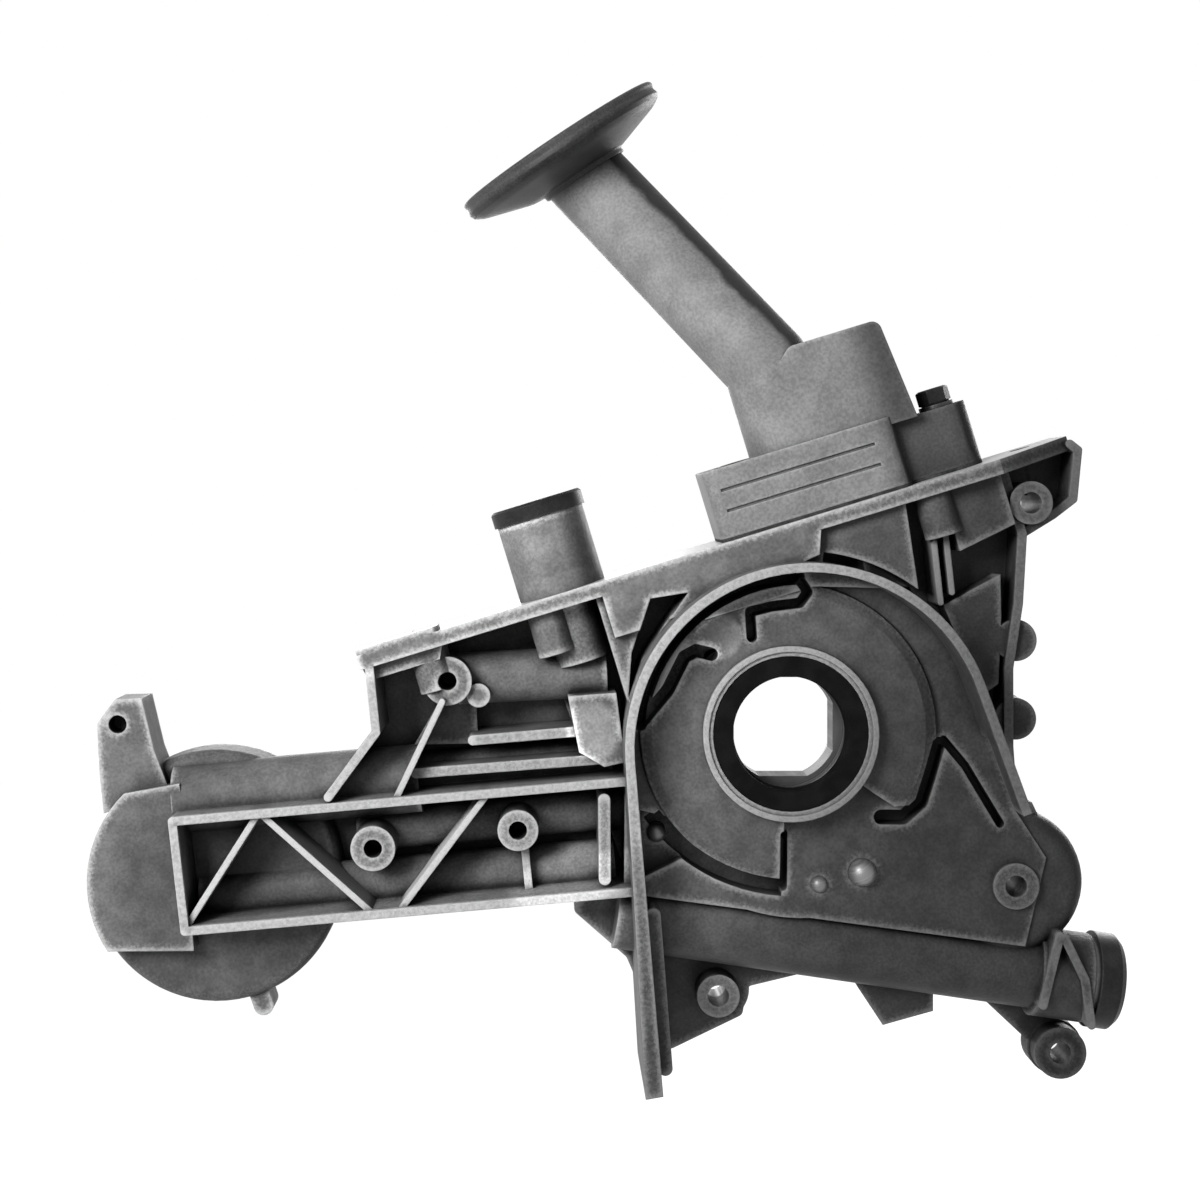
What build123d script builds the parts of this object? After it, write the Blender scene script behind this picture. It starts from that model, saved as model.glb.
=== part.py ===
from build123d import *
from math import atan2, cos, degrees, hypot, pi, radians, sin
import os

# Crank-driven engine oil pump with sump flange, suction pipe and oil filter arm.
# Millimetres. The origin is where the crank axis meets the engine block face.
# X runs along the sump flange, Y points back into the block, Z points to the sump.
# A sketch on Plane.XZ.offset(h) lies h in front of the block face.

os.makedirs("parts", exist_ok=True)

# ---- rotor set ----
lobe_count = 9
rotor_offset = 3.0
arc_ring_radius = 37.0
arc_radius = 8.0
tooth_gap = 0.06
outer_rotor_radius = 39.5
rotor_running_gap = 0.06
rotor_thickness = 11.0
rotor_end_gap = 0.04
crank_radius = 17.0
drive_flat = 15.3
drive_turn = -17.0

# ---- rear cover ----
cover_thick = 5.0
cover_radius = 44.6
cover_gap = 0.1
cover_ear_ring = 47.6
cover_ear_radius = 6.2
cover_ear_start = 18
cover_ear_angles = tuple(cover_ear_start + 72 * k for k in range(5))
cover_bore_radius = 17.6
screw_radius = 2.5
screw_head_radius = 4.6
screw_head_depth = 2.4
screw_length = 13.0
screw_gap = 0.05
screw_key_radius = 1.6

# ---- casting heights in front of the block face ----
foot_thick = 8.0
well_floor = 26.0
boss_front = 34.0
rim_front = 46.0
arm_web = 4.5
rail_front = 34.0
moat_floor = 18.5
lane_floor = 10.0

# ---- crank boss, rim and blade ----
boss_radius = 26.4
boss_lip = 24.7
seal_radius = 23.4
seal_depth = 7.0
hub_bore_radius = 18.6
dome_radius = 45.5
dome_rise = 3.2
rim_x = 3.3
rim_z = -4.0
rim_radius = 54.6
rim_wall = 2.7
lane_width = 4.4
lane_tip = 75
lane_root = 157
blade_lean = 13.6
blade_length = 100.0
blade_foot_extra = 2.6
rim_drop = 40.0

# ---- sump flange ----
sump_face = 60.5
sump_plate = 4.5
sump_depth = 34.0
sump_left = -118.0
sump_right = 109.5
sump_bolt_left = -97.5
sump_bolt_right = 96.5
sump_bolt_y = -24.0
sump_bolt_radius = 3.3

# ---- filter arm, measured along the arm and across it from the head centre ----
head_x = -182.2
head_z = 6.5
head_radius = 39.3
head_front = 14.0
head_seat = -4.0
seat_inner = 30.0
seat_outer = 36.0
seat_groove = 2.0
stud_radius = 9.5
stud_bore = 5.5
stud_out = 14.0
stud_in = 12.0
arm_lean = -12.0
rail_high = 22.8
rail_low = -13.0
rail_wall = 2.6
rail_start = -9.0
arm_length = 131.0
feed_tube_radius = 10.5
feed_tube_across = 25.0
feed_tube_height = 12.0
return_tube_radius = 7.2
return_tube_across = -6.2
return_tube_height = 11.0
upper_tube_radius = 6.5
upper_tube_across = 9.5
upper_tube_height = 8.0

arm_ribs = (
    ((17.2, 20.5), (-5.6, -9.5)),
    ((19.2, 20.5), (49.0, -11.0)),
    ((86.6, 20.5), (57.8, -11.5)),
    ((76.0, 50.0), (59.8, 22.5)),
)
arm_bosses = (((-94.4, 44.8), 7.4), ((-130.9, 2.8), 6.8), ((-87.2, -4.8), 6.2))

# ---- pressed balls: x, z, radius, height of the face they sit in ----
ball_places = ((-47.2, -19.0, 3.0, 20.0), (-4.5, -47.5, 2.6, 26.0), (9.1, -47.8, 4.2, 26.0))

# ---- relief valve, axis parallel to Z ----
relief_x = -53.0
relief_y = -19.0
chimney_radius = 13.5
relief_link_radius = 8.2
chimney_top = 84.4
relief_bore = 7.5
relief_seat = 56.0
piston_gap = 0.04
piston_length = 16.0
piston_wall = 1.9
piston_floor = 3.0
relief_spring_radius = 4.3
relief_wire = 0.9
relief_turns = 5.5
relief_cap_radius = 14.4
relief_cap_thick = 5.0
relief_cap_stem = 3.0
oring_wire = 0.8

# ---- main gallery along the foot of the casting ----
gallery_lean = -25.2
gallery_x = -66.0
gallery_z = -39.5
gallery_height = 15.0
gallery_radius = 11.5
gallery_bore = 7.0
gallery_length = 146.0
gallery_end_radius = 13.6
gallery_end_length = 16.0
gallery_plug_radius = 14.6
gallery_plug_thick = 8.0
gallery_washer_thick = 1.5
gallery_plug_stem = 12.0

# ---- block bolts ----
block_bolt_radius = 3.3
bolt_d = (52.4, -65.2)
bolt_e = (-43.6, -73.7)
bolt_lug = (52.8, -122.2)
bolt_top = (91.5, 44.5)
bolt_wall = ((75.6, 5.2), (68.4, -17.8))
wall_screw_radius = 2.6
wall_screw_depth = 14.0
dowel_radius = 6.0
dowel_length = 10.0
dowel_inset = 5.0

# ---- delivery port in the block face ----
port_x = 20.0
port_z = -78.5
port_radius = 5.5
port_groove_inner = 8.0
port_groove_wide = 2.6
port_groove_deep = 2.0

# ---- suction side ----
suction_x = 30.0
suction_y = -16.0
suction_bore = 8.5
gasket_thick = 1.0
pickup_y = -17.0
pickup_left = -2.5
pickup_right = 58.0
pickup_depth = 29.0
pickup_base_top = 82.5
block_top = 111.5
pipe_radius = 13.4
pipe_wall = 2.2
pickup_bolt_left = 8.6
pickup_bolt_right = 74.0
pickup_seat_left = 76.5
pickup_seat_right = 80.5
pickup_bolt_radius = 3.0
pickup_bolt_head = 5.2
pickup_bolt_head_high = 5.0
pickup_washer_radius = 5.4
pickup_washer_thick = 1.2

# ---- strainer bell ----
bell_x = -11.5
bell_y = 9.0
bell_z = 192.5
bell_radius = 36.0
bell_tilt = 16.4
bell_nod = 0.085
bell_sheet = 1.4
bell_skirt = 5.0
bell_cone = 7.0
screen_fit = 0.04


def front(height):
    # Plane parallel to the block face, the given height in front of it
    return Plane.XZ.offset(height)


def arm_plane(height, along=0.0, across=0.0):
    # Same as front(), turned into the direction of the filter arm
    turn = radians(arm_lean)
    x = head_x + along * cos(turn) - across * sin(turn)
    z = head_z + along * sin(turn) + across * cos(turn)
    return Plane(origin=(x, -height, z), x_dir=(cos(turn), 0, sin(turn)), z_dir=(0, -1, 0))


def along_plane(x, height, z, lean):
    # Plane whose normal runs in the XZ plane at the given lean
    turn = radians(lean)
    return Plane(origin=(x, -height, z), x_dir=(0, 1, 0), z_dir=(cos(turn), 0, sin(turn)))


def arm_tube_plane(along, across, height):
    # Plane across the arm, its normal along the arm
    turn = radians(arm_lean)
    x = head_x + along * cos(turn) - across * sin(turn)
    z = head_z + along * sin(turn) + across * cos(turn)
    return along_plane(x, height, z, arm_lean)


def gallery_point_plane(along):
    # Plane across the main gallery at a distance from its left end
    turn = radians(gallery_lean)
    return along_plane(
        gallery_x + along * cos(turn), gallery_height, gallery_z + along * sin(turn), gallery_lean
    )


def level(z):
    # Horizontal plane at height z
    return Plane.XY.offset(z)


def epitrochoid(angle, lobes, offset_gap):
    # Point of the lobed rotor: the curve rolled out by the ring of arcs, moved in by the arc radius
    wide = lobes + 1
    px = arc_ring_radius * cos(angle) + rotor_offset * cos(wide * angle)
    py = arc_ring_radius * sin(angle) + rotor_offset * sin(wide * angle)
    nx = arc_ring_radius * cos(angle) + wide * rotor_offset * cos(wide * angle)
    ny = arc_ring_radius * sin(angle) + wide * rotor_offset * sin(wide * angle)
    size = hypot(nx, ny)
    inset = arc_radius + offset_gap
    return (px - inset * nx / size, py - inset * ny / size)


def rib_sketch(plane, points, width):
    # Narrow rib with rounded ends along a row of points
    with BuildSketch(plane) as ribs:
        for (xa, za), (xb, zb) in zip(points, points[1:]):
            with Locations(((xa + xb) / 2, (za + zb) / 2)):
                SlotCenterToCenter(
                    hypot(xb - xa, zb - za), width, rotation=degrees(atan2(zb - za, xb - xa))
                )
    return ribs.sketch


def area(plane, *points):
    # Flat area with straight sides
    with BuildSketch(plane) as flat:
        with BuildLine():
            Polyline(*points, close=True)
        make_face()
    return flat.sketch


def disc(plane, radius, *centres):
    # Round areas of one radius
    with BuildSketch(plane) as flat:
        with Locations(*centres):
            Circle(radius)
    return flat.sketch


def ring(plane, outer, inner, x=0.0, z=0.0):
    # Flat ring
    with BuildSketch(plane) as flat:
        with Locations((x, z)):
            Circle(outer)
            Circle(inner, mode=Mode.SUBTRACT)
    return flat.sketch


# ---------------------------------------------------------------- housing
def foot_outline():
    # Outline of the plate that is bolted to the block face
    with BuildSketch(Plane.XZ) as outline:
        with BuildLine():
            Polyline(
                (-64, 57), (88, 57), (88, 36), (80.6, 16), (72, -2), (65, -25), (61.5, -40), (66, -84),
                (60, -113), (45.6, -118.5), (36, -101.8), (23.1, -93.5), (0, -83), (-9, -77.5), (-34, -76),
                (-38, -84), (-64, -88), (-67.5, -56), (-80, -36), (-60, -30),
                close=True,
            )
        make_face()
        fillet(outline.vertices(), radius=2.2)
        with Locations(bolt_d):
            Circle(22.4)
        with Locations(bolt_lug):
            Circle(8.6)
        with Locations(bolt_e):
            Circle(10.5)
        with Locations(bolt_wall[0], bolt_wall[1]):
            Circle(6.6)
        with BuildLine():
            Polyline((-1.5, -80), (-0.8, -86.5), (3.2, -100), (19.6, -100.4), (21.4, -94.5), (21, -80), close=True)
        make_face()
    return outline.sketch


def well_outline():
    # Solid body behind the guard rim, down to the gallery tube
    with BuildSketch(Plane.XZ) as outline:
        with Locations((rim_x, rim_z)):
            Circle(rim_radius - 0.4)
        with BuildLine():
            Polyline((-53, -4), (56, -4), (58.8, -42), (64, -60), (50, -84), (-62, -32.8), close=True)
        make_face()
    return outline.sketch


def guard_points(inset):
    # Corner points of the guard wall at a distance inside its outer face
    lean = radians(blade_lean)
    tip = radians(3)
    radius = rim_radius - inset
    foot = blade_foot_extra if inset > 0 else 0
    left = (rim_x - radius * cos(lean), rim_z + radius * sin(lean))
    right = (rim_x + radius * cos(tip), rim_z + radius * sin(tip))
    left_end = (left[0] - blade_length * sin(lean) + foot, left[1] - blade_length * cos(lean))
    right_end = (right[0] + rim_drop * sin(tip), right[1] - rim_drop * cos(tip))
    return left_end, left, (rim_x, rim_z + radius), right, right_end


def rim_band():
    # Guard wall: long blade on the left, arc over the crank, short end on the right
    left_end, left, top, right, right_end = guard_points(0)
    left_end_in, left_in, top_in, right_in, right_end_in = guard_points(rim_wall)
    with BuildSketch(Plane.XZ) as band:
        with BuildLine():
            Line(left_end, left)
            ThreePointArc(left, top, right)
            Polyline(right, right_end, right_end_in, right_in)
            ThreePointArc(right_in, top_in, left_in)
            Polyline(left_in, left_end_in, left_end)
        make_face()
    return band.sketch


def lane_point(angle):
    # Point in the middle of the groove just inside the guard rim
    lane = rim_radius - rim_wall - lane_width / 2
    return (rim_x + lane * cos(radians(angle)), rim_z + lane * sin(radians(angle)))


def lane_outline(plane):
    # Groove between the guard rim and the finger-shaped island
    with BuildSketch(plane) as groove:
        with BuildLine() as lane_line:
            ThreePointArc(lane_point(lane_tip), lane_point(112), lane_point(lane_root))
        trace(lane_line.edges(), line_width=lane_width)
        with Locations(lane_point(lane_tip), lane_point(lane_root)):
            Circle(lane_width / 2)
    return groove.sketch


def cover_outline(plane, gap):
    # Round cover with screw ears
    with BuildSketch(plane) as outline:
        Circle(cover_radius + gap)
        with PolarLocations(cover_ear_ring, 5, start_angle=cover_ear_start):
            Circle(cover_ear_radius + gap)
        with PolarLocations(cover_ear_ring - 5, 5, start_angle=cover_ear_start):
            Rectangle(10, 2 * (cover_ear_radius + gap))
    return outline.sketch


def rounded_disc(x, z, radius, low, high, edge):
    # Disc in front of the block face with a rounded front edge
    with BuildPart() as piece:
        extrude(disc(front(low), radius, (x, z)), amount=high - low)
        fillet(piece.faces().sort_by(Axis.Y)[0].edges(), radius=edge)
    return piece.part


shoulder = rounded_disc(bolt_d[0], bolt_d[1], 22.4, 4, 25, 7)
filter_head = rounded_disc(head_x, head_z, head_radius, head_seat, head_front, 3.5)

with BuildPart() as pump_housing:
    # Foot plate against the block and the body in front of the rotors
    extrude(foot_outline(), amount=foot_thick)
    extrude(well_outline(), amount=well_floor)

    # Shoulder between sump flange and rim, raised in two steps
    extrude(area(Plane.XZ, (-44, 57), (54, 57), (50, 30), (20, 40), (-20, 40), (-44, 20)), amount=30)
    extrude(
        area(Plane.XZ, (-42, 57), (27, 57), (24, 49), (2, 46), (-20, 44), (-30, 43), (-42, 43)),
        amount=boss_front,
    )

    # Round shoulder that carries the lower right bolt and the end of the gallery
    add(shoulder)
    extrude(area(Plane.XZ, (38, -56), (50, -84), (70, -72), (66, -44), (56, -40)), amount=20)

    # Tray between rim and right casting edge, with its own low wall
    extrude(
        area(Plane.XZ, (50, 57), (88, 57), (88, 36), (80.6, 16), (72, -2), (65, -25), (61.5, -40),
             (54, -42)),
        amount=10,
    )
    tray_edge = [(86.6, 55), (86.6, 36), (79.2, 16), (70.6, -2), (63.6, -25), (60.4, -39)]
    extrude(rib_sketch(Plane.XZ, tray_edge, 2.8), amount=23)
    extrude(area(Plane.XZ, (57.5, 22), (77.0, 26.0), (73.6, 14), (66.6, -6), (60.5, -8)), amount=21)
    for x, z in ((56.2, 23.5), (60.4, 25.5)):
        extrude(rib_sketch(Plane.XZ, [(x, z), (x + 3.4, z + 18)], 1.8), amount=25)

    # Sump flange: plate with long straight front edge, thicker left tip
    with BuildSketch(level(sump_face - sump_plate)):
        with BuildLine():
            Polyline(
                (sump_left, -sump_depth), (84, -sump_depth), (sump_right, -18), (sump_right, 0),
                (sump_left, 0),
                close=True,
            )
        make_face()
    extrude(amount=sump_plate)
    with BuildSketch(level(sump_face)):
        with Locations(((sump_left - 92) / 2, -sump_depth + 6)):
            RectangleRounded(-92 - sump_left, 12, 2.5)
    extrude(amount=1.6)

    # Bosses under the sump flange
    with BuildSketch(level(43)):
        with Locations((63.0, -26)):
            Circle(5.8)
        with Locations((sump_bolt_left, sump_bolt_y)):
            Circle(6)
    extrude(amount=sump_face - 44)
    extrude(area(front(2), (66, 57), (84.5, 57), (84.5, 40), (66, 37)), amount=25)
    extrude(area(front(2), (-118, 57), (-92, 57), (-94.5, 52), (-116.8, 52)), amount=28)

    # Triangular ear at the right end of the sump flange
    extrude(
        area(Plane.XZ, (84, 57), (109.5, 57), (112.6, 55), (106.2, 40.5), (98.5, 37.5), (86, 35)),
        amount=7,
    )
    ear_edge = [(109.4, 58), (111.2, 55.4), (105.4, 41.4), (98, 38.6), (88, 36)]
    extrude(rib_sketch(Plane.XZ, ear_edge, 2.6), amount=20)
    extrude(disc(Plane.XZ, 6.6, bolt_top), amount=25)

    # Guard rim and blade
    extrude(rim_band(), amount=rim_front)
    extrude(rib_sketch(Plane.XZ, [(-55.4, -40), (-65.4, -85)], 4.4), amount=34)

    # Crank boss with raised lip, domed ring round it
    with BuildSketch(Plane.YZ):
        with BuildLine():
            Polyline(
                (-well_floor + 1, boss_radius - 2), (-well_floor - dome_rise - 2, boss_radius - 2),
                (-well_floor - dome_rise - 1, boss_radius + 3), (-well_floor - dome_rise, dome_radius - 4),
                (-well_floor - dome_rise + 1.4, dome_radius - 0.6), (-well_floor + 1, dome_radius),
                close=True,
            )
        make_face()
    revolve(axis=Axis.Y, revolution_arc=360)
    extrude(
        area(front(well_floor), (-9, -24), (-20, -60), (60, -60), (60, -20), (44, -14), (38, -20),
             (34, -29), (29, -32), (24, -31), (19, -25), (0, 0)),
        amount=8,
        mode=Mode.SUBTRACT,
    )
    extrude(ring(front(well_floor - 2), boss_radius, seal_radius - 2), amount=boss_front - well_floor + 2)
    extrude(ring(front(boss_front), boss_radius, boss_lip), amount=0.8)

    # Crescent notch beside the dome and the groove that runs down from its tip
    notch_line = [(19.6, -33.5), (26.0, -35.5), (32.4, -32.6), (38.2, -24.0), (42.6, -17.4)]
    extrude(rib_sketch(front(18), notch_line, 4.6), amount=20, mode=Mode.SUBTRACT)
    tail_line = [(44.6, -16.5), (48.6, -26.0), (53.6, -46.0)]
    extrude(rib_sketch(front(18), tail_line, 2.6), amount=20, mode=Mode.SUBTRACT)

    # Grooves round the finger
    extrude(lane_outline(front(lane_floor)), amount=30, mode=Mode.SUBTRACT)
    tip_line = [lane_point(lane_tip), (17.9, 38.8), (14.6, 36.4), (6.0, 37.9), (-0.6, 38.2), (-2.4, 30.8)]
    extrude(rib_sketch(front(moat_floor), tip_line, 3.2), amount=20, mode=Mode.SUBTRACT)
    root_line = [(-15.6, 29.4), (-19.6, 31.8), (-23.6, 31.0), (-31.2, 23.0), lane_point(lane_root)]
    extrude(rib_sketch(front(moat_floor), root_line, 4.0), amount=20, mode=Mode.SUBTRACT)

    # Wide groove below the dome, sunken patch at its left end, short slot
    with BuildSketch(front(17)):
        with BuildLine() as groove_line:
            ThreePointArc((-47.0, -12.5), (-36.0, -31.0), (-15.5, -45.0))
        trace(groove_line.edges(), line_width=5.6)
    extrude(amount=20, mode=Mode.SUBTRACT)
    extrude(area(front(20), (-50, -10), (-43, -14), (-37, -27), (-56, -30)), amount=12, mode=Mode.SUBTRACT)
    extrude(rib_sketch(front(17), [(-10.4, -29.4), (-15.2, -45.0)], 2.6), amount=20, mode=Mode.SUBTRACT)

    # Pocket and groove outside the rim
    extrude(
        area(front(12), (-43.5, 24), (-38.5, 37), (-28.5, 51.2), (-17.0, 49.6), (-27.2, 41.6),
             (-36.0, 34.2)),
        amount=30,
        mode=Mode.SUBTRACT,
    )
    with BuildSketch(front(16)) as outer_groove:
        with BuildLine() as outer_line:
            CenterArc((rim_x, rim_z), rim_radius + 1.5, 24, 43)
        trace(outer_line.edges(), line_width=3)
    extrude(amount=20, mode=Mode.SUBTRACT)

    # Filter arm: thin web, rails, left rail and box walls
    extrude(
        area(arm_plane(0), (rail_start, rail_low), (arm_length - 3, rail_low), (arm_length, rail_high),
             (rail_start, rail_high)),
        amount=arm_web,
    )
    extrude(
        area(Plane.XZ, (-115, 57), (-119.4, 36.2), (-139.5, 21.9), (-56, 3), (-50, 20), (-50, 57)),
        amount=arm_web,
    )
    half = rail_wall / 2
    extrude(
        rib_sketch(
            arm_plane(0),
            [(arm_length - 1, rail_high - half), (rail_start + half, rail_high - half),
             (rail_start + 2.2, rail_low + half), (arm_length - 3, rail_low + half)],
            rail_wall,
        ),
        amount=rail_front,
    )
    extrude(
        rib_sketch(Plane.XZ, [(-115.2, 56), (-119.0, 36.8), (-138.4, 22.4)], rail_wall),
        amount=rail_front,
    )

    # Thin stiffening ribs and bolt bosses of the arm
    for start, end in arm_ribs:
        extrude(rib_sketch(arm_plane(0), [start, end], 1.9), amount=rail_front - 2)
    for place, size in arm_bosses:
        extrude(disc(Plane.XZ, size, place), amount=rail_front - 6)

    # Oil tubes along the arm; inside the box the feed tube becomes two low ribs
    feed_start = arm_tube_plane(-10, feed_tube_across, feed_tube_height)
    feed_deep = arm_tube_plane(-10, feed_tube_across, feed_tube_height - 4)
    return_start = arm_tube_plane(-5, return_tube_across, return_tube_height)
    upper_start = arm_tube_plane(45, upper_tube_across, upper_tube_height)
    extrude(disc(feed_start, feed_tube_radius, (0, 0)), amount=76)
    extrude(disc(feed_deep, feed_tube_radius - 3, (0, 0)), amount=136)
    extrude(disc(return_start, return_tube_radius, (0, 0)), amount=129)
    extrude(disc(upper_start, upper_tube_radius, (0, 0)), amount=86)
    extrude(rib_sketch(Plane.XZ, [(-92.5, 25.0), (-60.0, 18.0)], 3.0), amount=25)
    extrude(rib_sketch(Plane.XZ, [(-112.0, 20.6), (-54.0, 7.6)], 3.0), amount=26)

    # Cross duct from the first boss to the relief valve, foot below it, square pad, end strip
    duct_turn = degrees(atan2(31.5 - 43.2, -44.0 + 90.6))
    extrude(disc(along_plane(-92.0, 15.0, 43.6, duct_turn), 8.0, (0, 0)), amount=46)
    extrude(area(Plane.XZ, (-98, 40), (-88, 38), (-92, 22.4), (-111, 27.8)), amount=14)
    with BuildSketch(Plane.XZ):
        with Locations((-86.8, 37.7)):
            Circle(3.6)
    extrude(amount=26)
    extrude(area(Plane.XZ, (-60.8, 29.7), (-46.5, 26.4), (-50, 5.5), (-56.5, 6.0), (-62.5, 12.5)), amount=28)
    extrude(rib_sketch(Plane.XZ, [(-59.4, -3.0), (-66.2, -26.0)], 3.6), amount=31)
    extrude(rib_sketch(Plane.XZ, [(-86.8, -10.0), (-90.0, -26.0)], 2.4), amount=22)

    # Filter head with raised pad, clip lug and stop pin
    add(filter_head)
    with BuildSketch(arm_plane(head_front - 3)):
        Circle(head_radius - 1.2)
        with BuildLine():
            Polyline(
                (-50, 27), (rail_start + 2, 31), (rail_start + 2, -50), (60, -50), (60, 60), (-50, 60),
                close=True,
            )
        make_face(mode=Mode.SUBTRACT)
        with BuildLine():
            Polyline((-50, -17), (0, -21), (0, -50), (-50, -50), close=True)
        make_face(mode=Mode.SUBTRACT)
    extrude(amount=11)
    with BuildSketch(front(2)) as lug_outline:
        with BuildLine():
            Polyline(
                (-208.5, 36), (-206.2, 48), (-202.4, 63), (-195, 68.6), (-187, 66.4), (-188, 50), (-187, 36),
                close=True,
            )
        make_face()
    extrude(amount=16)
    extrude(rib_sketch(front(0), [(-180.2, -36.6), (-180.6, -28)], 6.2), amount=11)

    # Relief valve chimney through the sump flange
    with BuildSketch(level(38)):
        with Locations((relief_x, relief_y)):
            Circle(relief_link_radius)
    extrude(amount=sump_face - 39)
    with BuildSketch(level(43)):
        with Locations((relief_x - 7, -sump_depth + 9)):
            Circle(5.8)
    extrude(amount=sump_face - 44)
    with BuildSketch(level(sump_face - 1)):
        with Locations((relief_x, relief_y)):
            Circle(chimney_radius)
    extrude(amount=chimney_top - sump_face + 1)

    # Main gallery tube with thicker right end
    extrude(disc(along_plane(gallery_x, gallery_height, gallery_z, gallery_lean), gallery_radius, (0, 0)),
            amount=gallery_length)
    extrude(
        disc(gallery_point_plane(gallery_length - gallery_end_length), gallery_end_radius, (0, 0)),
        amount=gallery_end_length,
    )

    # Bolt bosses and the ribs between them
    extrude(ring(Plane.XZ, 7.0, 2, bolt_d[0], bolt_d[1]), amount=28)
    extrude(ring(Plane.XZ, 6.6, 2, bolt_e[0], bolt_e[1]), amount=17)
    extrude(ring(Plane.XZ, 8.0, 2, bolt_lug[0], bolt_lug[1]), amount=15)
    for place in bolt_wall:
        extrude(disc(Plane.XZ, 6.4, place), amount=21)
    extrude(rib_sketch(Plane.XZ, [(60.4, -83), (49.4, -101.6)], 2.6), amount=29.5)
    extrude(rib_sketch(Plane.XZ, [(61.6, -84), (63.8, -98), (61.6, -111.6)], 2.6), amount=29.5)

    # ---- machining from the block side ----
    extrude(cover_outline(Plane.XZ, cover_gap), amount=cover_thick, mode=Mode.SUBTRACT)
    extrude(
        disc(front(cover_thick), outer_rotor_radius + rotor_running_gap, (-rotor_offset, 0)),
        amount=rotor_thickness,
        mode=Mode.SUBTRACT,
    )
    rotor_floor = cover_thick + rotor_thickness
    for middle in (90, 270):
        with BuildSketch(front(rotor_floor)):
            with BuildLine() as kidney_line:
                CenterArc((-1.0, 0), 30.5, middle - 66, 132)
            trace(kidney_line.edges(), line_width=6.5)
        extrude(amount=5, mode=Mode.SUBTRACT)
    extrude(
        area(front(rotor_floor), (suction_x - 8, 26), (suction_x + 1, 16), (suction_x + 8, 20),
             (suction_x + 8, 44), (suction_x - 8, 44)),
        amount=6,
        mode=Mode.SUBTRACT,
    )
    extrude(disc(Plane.XZ, hub_bore_radius, (0, 0)), amount=60, mode=Mode.SUBTRACT)
    extrude(disc(front(boss_front - seal_depth - 0.4), seal_radius, (0, 0)), amount=20, mode=Mode.SUBTRACT)
    for angle in cover_ear_angles:
        spot = (cover_ear_ring * cos(radians(angle)), cover_ear_ring * sin(radians(angle)))
        extrude(disc(Plane.XZ, screw_radius + screw_gap, spot), amount=screw_length + 1, mode=Mode.SUBTRACT)

    # Suction bore from the sump flange down to the rotor pocket
    with BuildSketch(level(38)):
        with Locations((suction_x, suction_y)):
            Circle(suction_bore)
    extrude(amount=sump_face - 37, mode=Mode.SUBTRACT)

    # Relief valve bore with its seat, discharge window to the rear
    with BuildSketch(level(relief_seat)):
        with Locations((relief_x, relief_y)):
            Circle(relief_bore)
    extrude(amount=40, mode=Mode.SUBTRACT)
    with BuildSketch(level(40)):
        with Locations((relief_x, relief_y)):
            Circle(relief_bore - 2)
    extrude(amount=20, mode=Mode.SUBTRACT)
    with BuildSketch(level(chimney_top - 2 * oring_wire)):
        with Locations((relief_x, relief_y)):
            Circle(relief_bore + 1.8)
    extrude(amount=3, mode=Mode.SUBTRACT)
    with BuildSketch(Plane.XZ):
        with Locations((relief_x, relief_seat + 8.5)):
            SlotOverall(9, 6)
    extrude(amount=-relief_y, mode=Mode.SUBTRACT)

    # Room for the gallery plug, gallery bore and delivery port
    extrude(
        disc(gallery_point_plane(gallery_length), gallery_plug_radius + 0.8, (0, 0)),
        amount=24,
        mode=Mode.SUBTRACT,
    )
    bore_start = gallery_point_plane(gallery_length - 96)
    extrude(disc(bore_start, gallery_bore, (0, 0)), amount=100, mode=Mode.SUBTRACT)
    extrude(disc(Plane.XZ, port_radius, (port_x, port_z)), amount=gallery_height, mode=Mode.SUBTRACT)
    extrude(
        ring(Plane.XZ, port_groove_inner + port_groove_wide, port_groove_inner, port_x, port_z),
        amount=port_groove_deep,
        mode=Mode.SUBTRACT,
    )

    # Filter seat: ring, sunken ring channel, threaded centre
    extrude(ring(front(head_seat - 1), seat_inner, 14.5, head_x, head_z), amount=9, mode=Mode.SUBTRACT)
    seat_edge = ring(front(head_seat - 1), 60, seat_outer, head_x, head_z)
    extrude(seat_edge, amount=1 + seat_groove, mode=Mode.SUBTRACT)
    extrude(disc(front(head_seat - 1), 14.6, (head_x, head_z)), amount=4, mode=Mode.SUBTRACT)
    extrude(disc(front(head_seat), stud_radius, (head_x, head_z)), amount=stud_in + 3.2, mode=Mode.SUBTRACT)

    # Bolt holes through the casting
    block_holes = (bolt_d, bolt_e, bolt_lug, bolt_top)
    extrude(disc(front(-1), block_bolt_radius, *block_holes), amount=70, mode=Mode.SUBTRACT)
    extrude(disc(front(-1), wall_screw_radius, *bolt_wall), amount=1 + wall_screw_depth, mode=Mode.SUBTRACT)
    blind_holes = (arm_bosses[0][0], arm_bosses[1][0], arm_bosses[2][0], (-196.4, 61.0))
    extrude(disc(front(10), 2.8, *blind_holes), amount=30, mode=Mode.SUBTRACT)
    extrude(disc(Plane.XZ, dowel_radius, bolt_d, bolt_e), amount=dowel_inset, mode=Mode.SUBTRACT)
    with BuildSketch(level(46)):
        with Locations((sump_bolt_left, sump_bolt_y), (sump_bolt_right, -10)):
            Circle(sump_bolt_radius)
    extrude(amount=20, mode=Mode.SUBTRACT)
    with BuildSketch(level(45)):
        with Locations((pickup_bolt_left, pickup_y), (pickup_bolt_right, pickup_y)):
            Circle(pickup_bolt_radius)
    extrude(amount=20, mode=Mode.SUBTRACT)

    # Seats of the pressed balls
    for x, z, size, face in ball_places:
        extrude(disc(front(face - 4), size, (x, z)), amount=10, mode=Mode.SUBTRACT)

pump_housing.part.label = "pump_housing"


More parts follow.
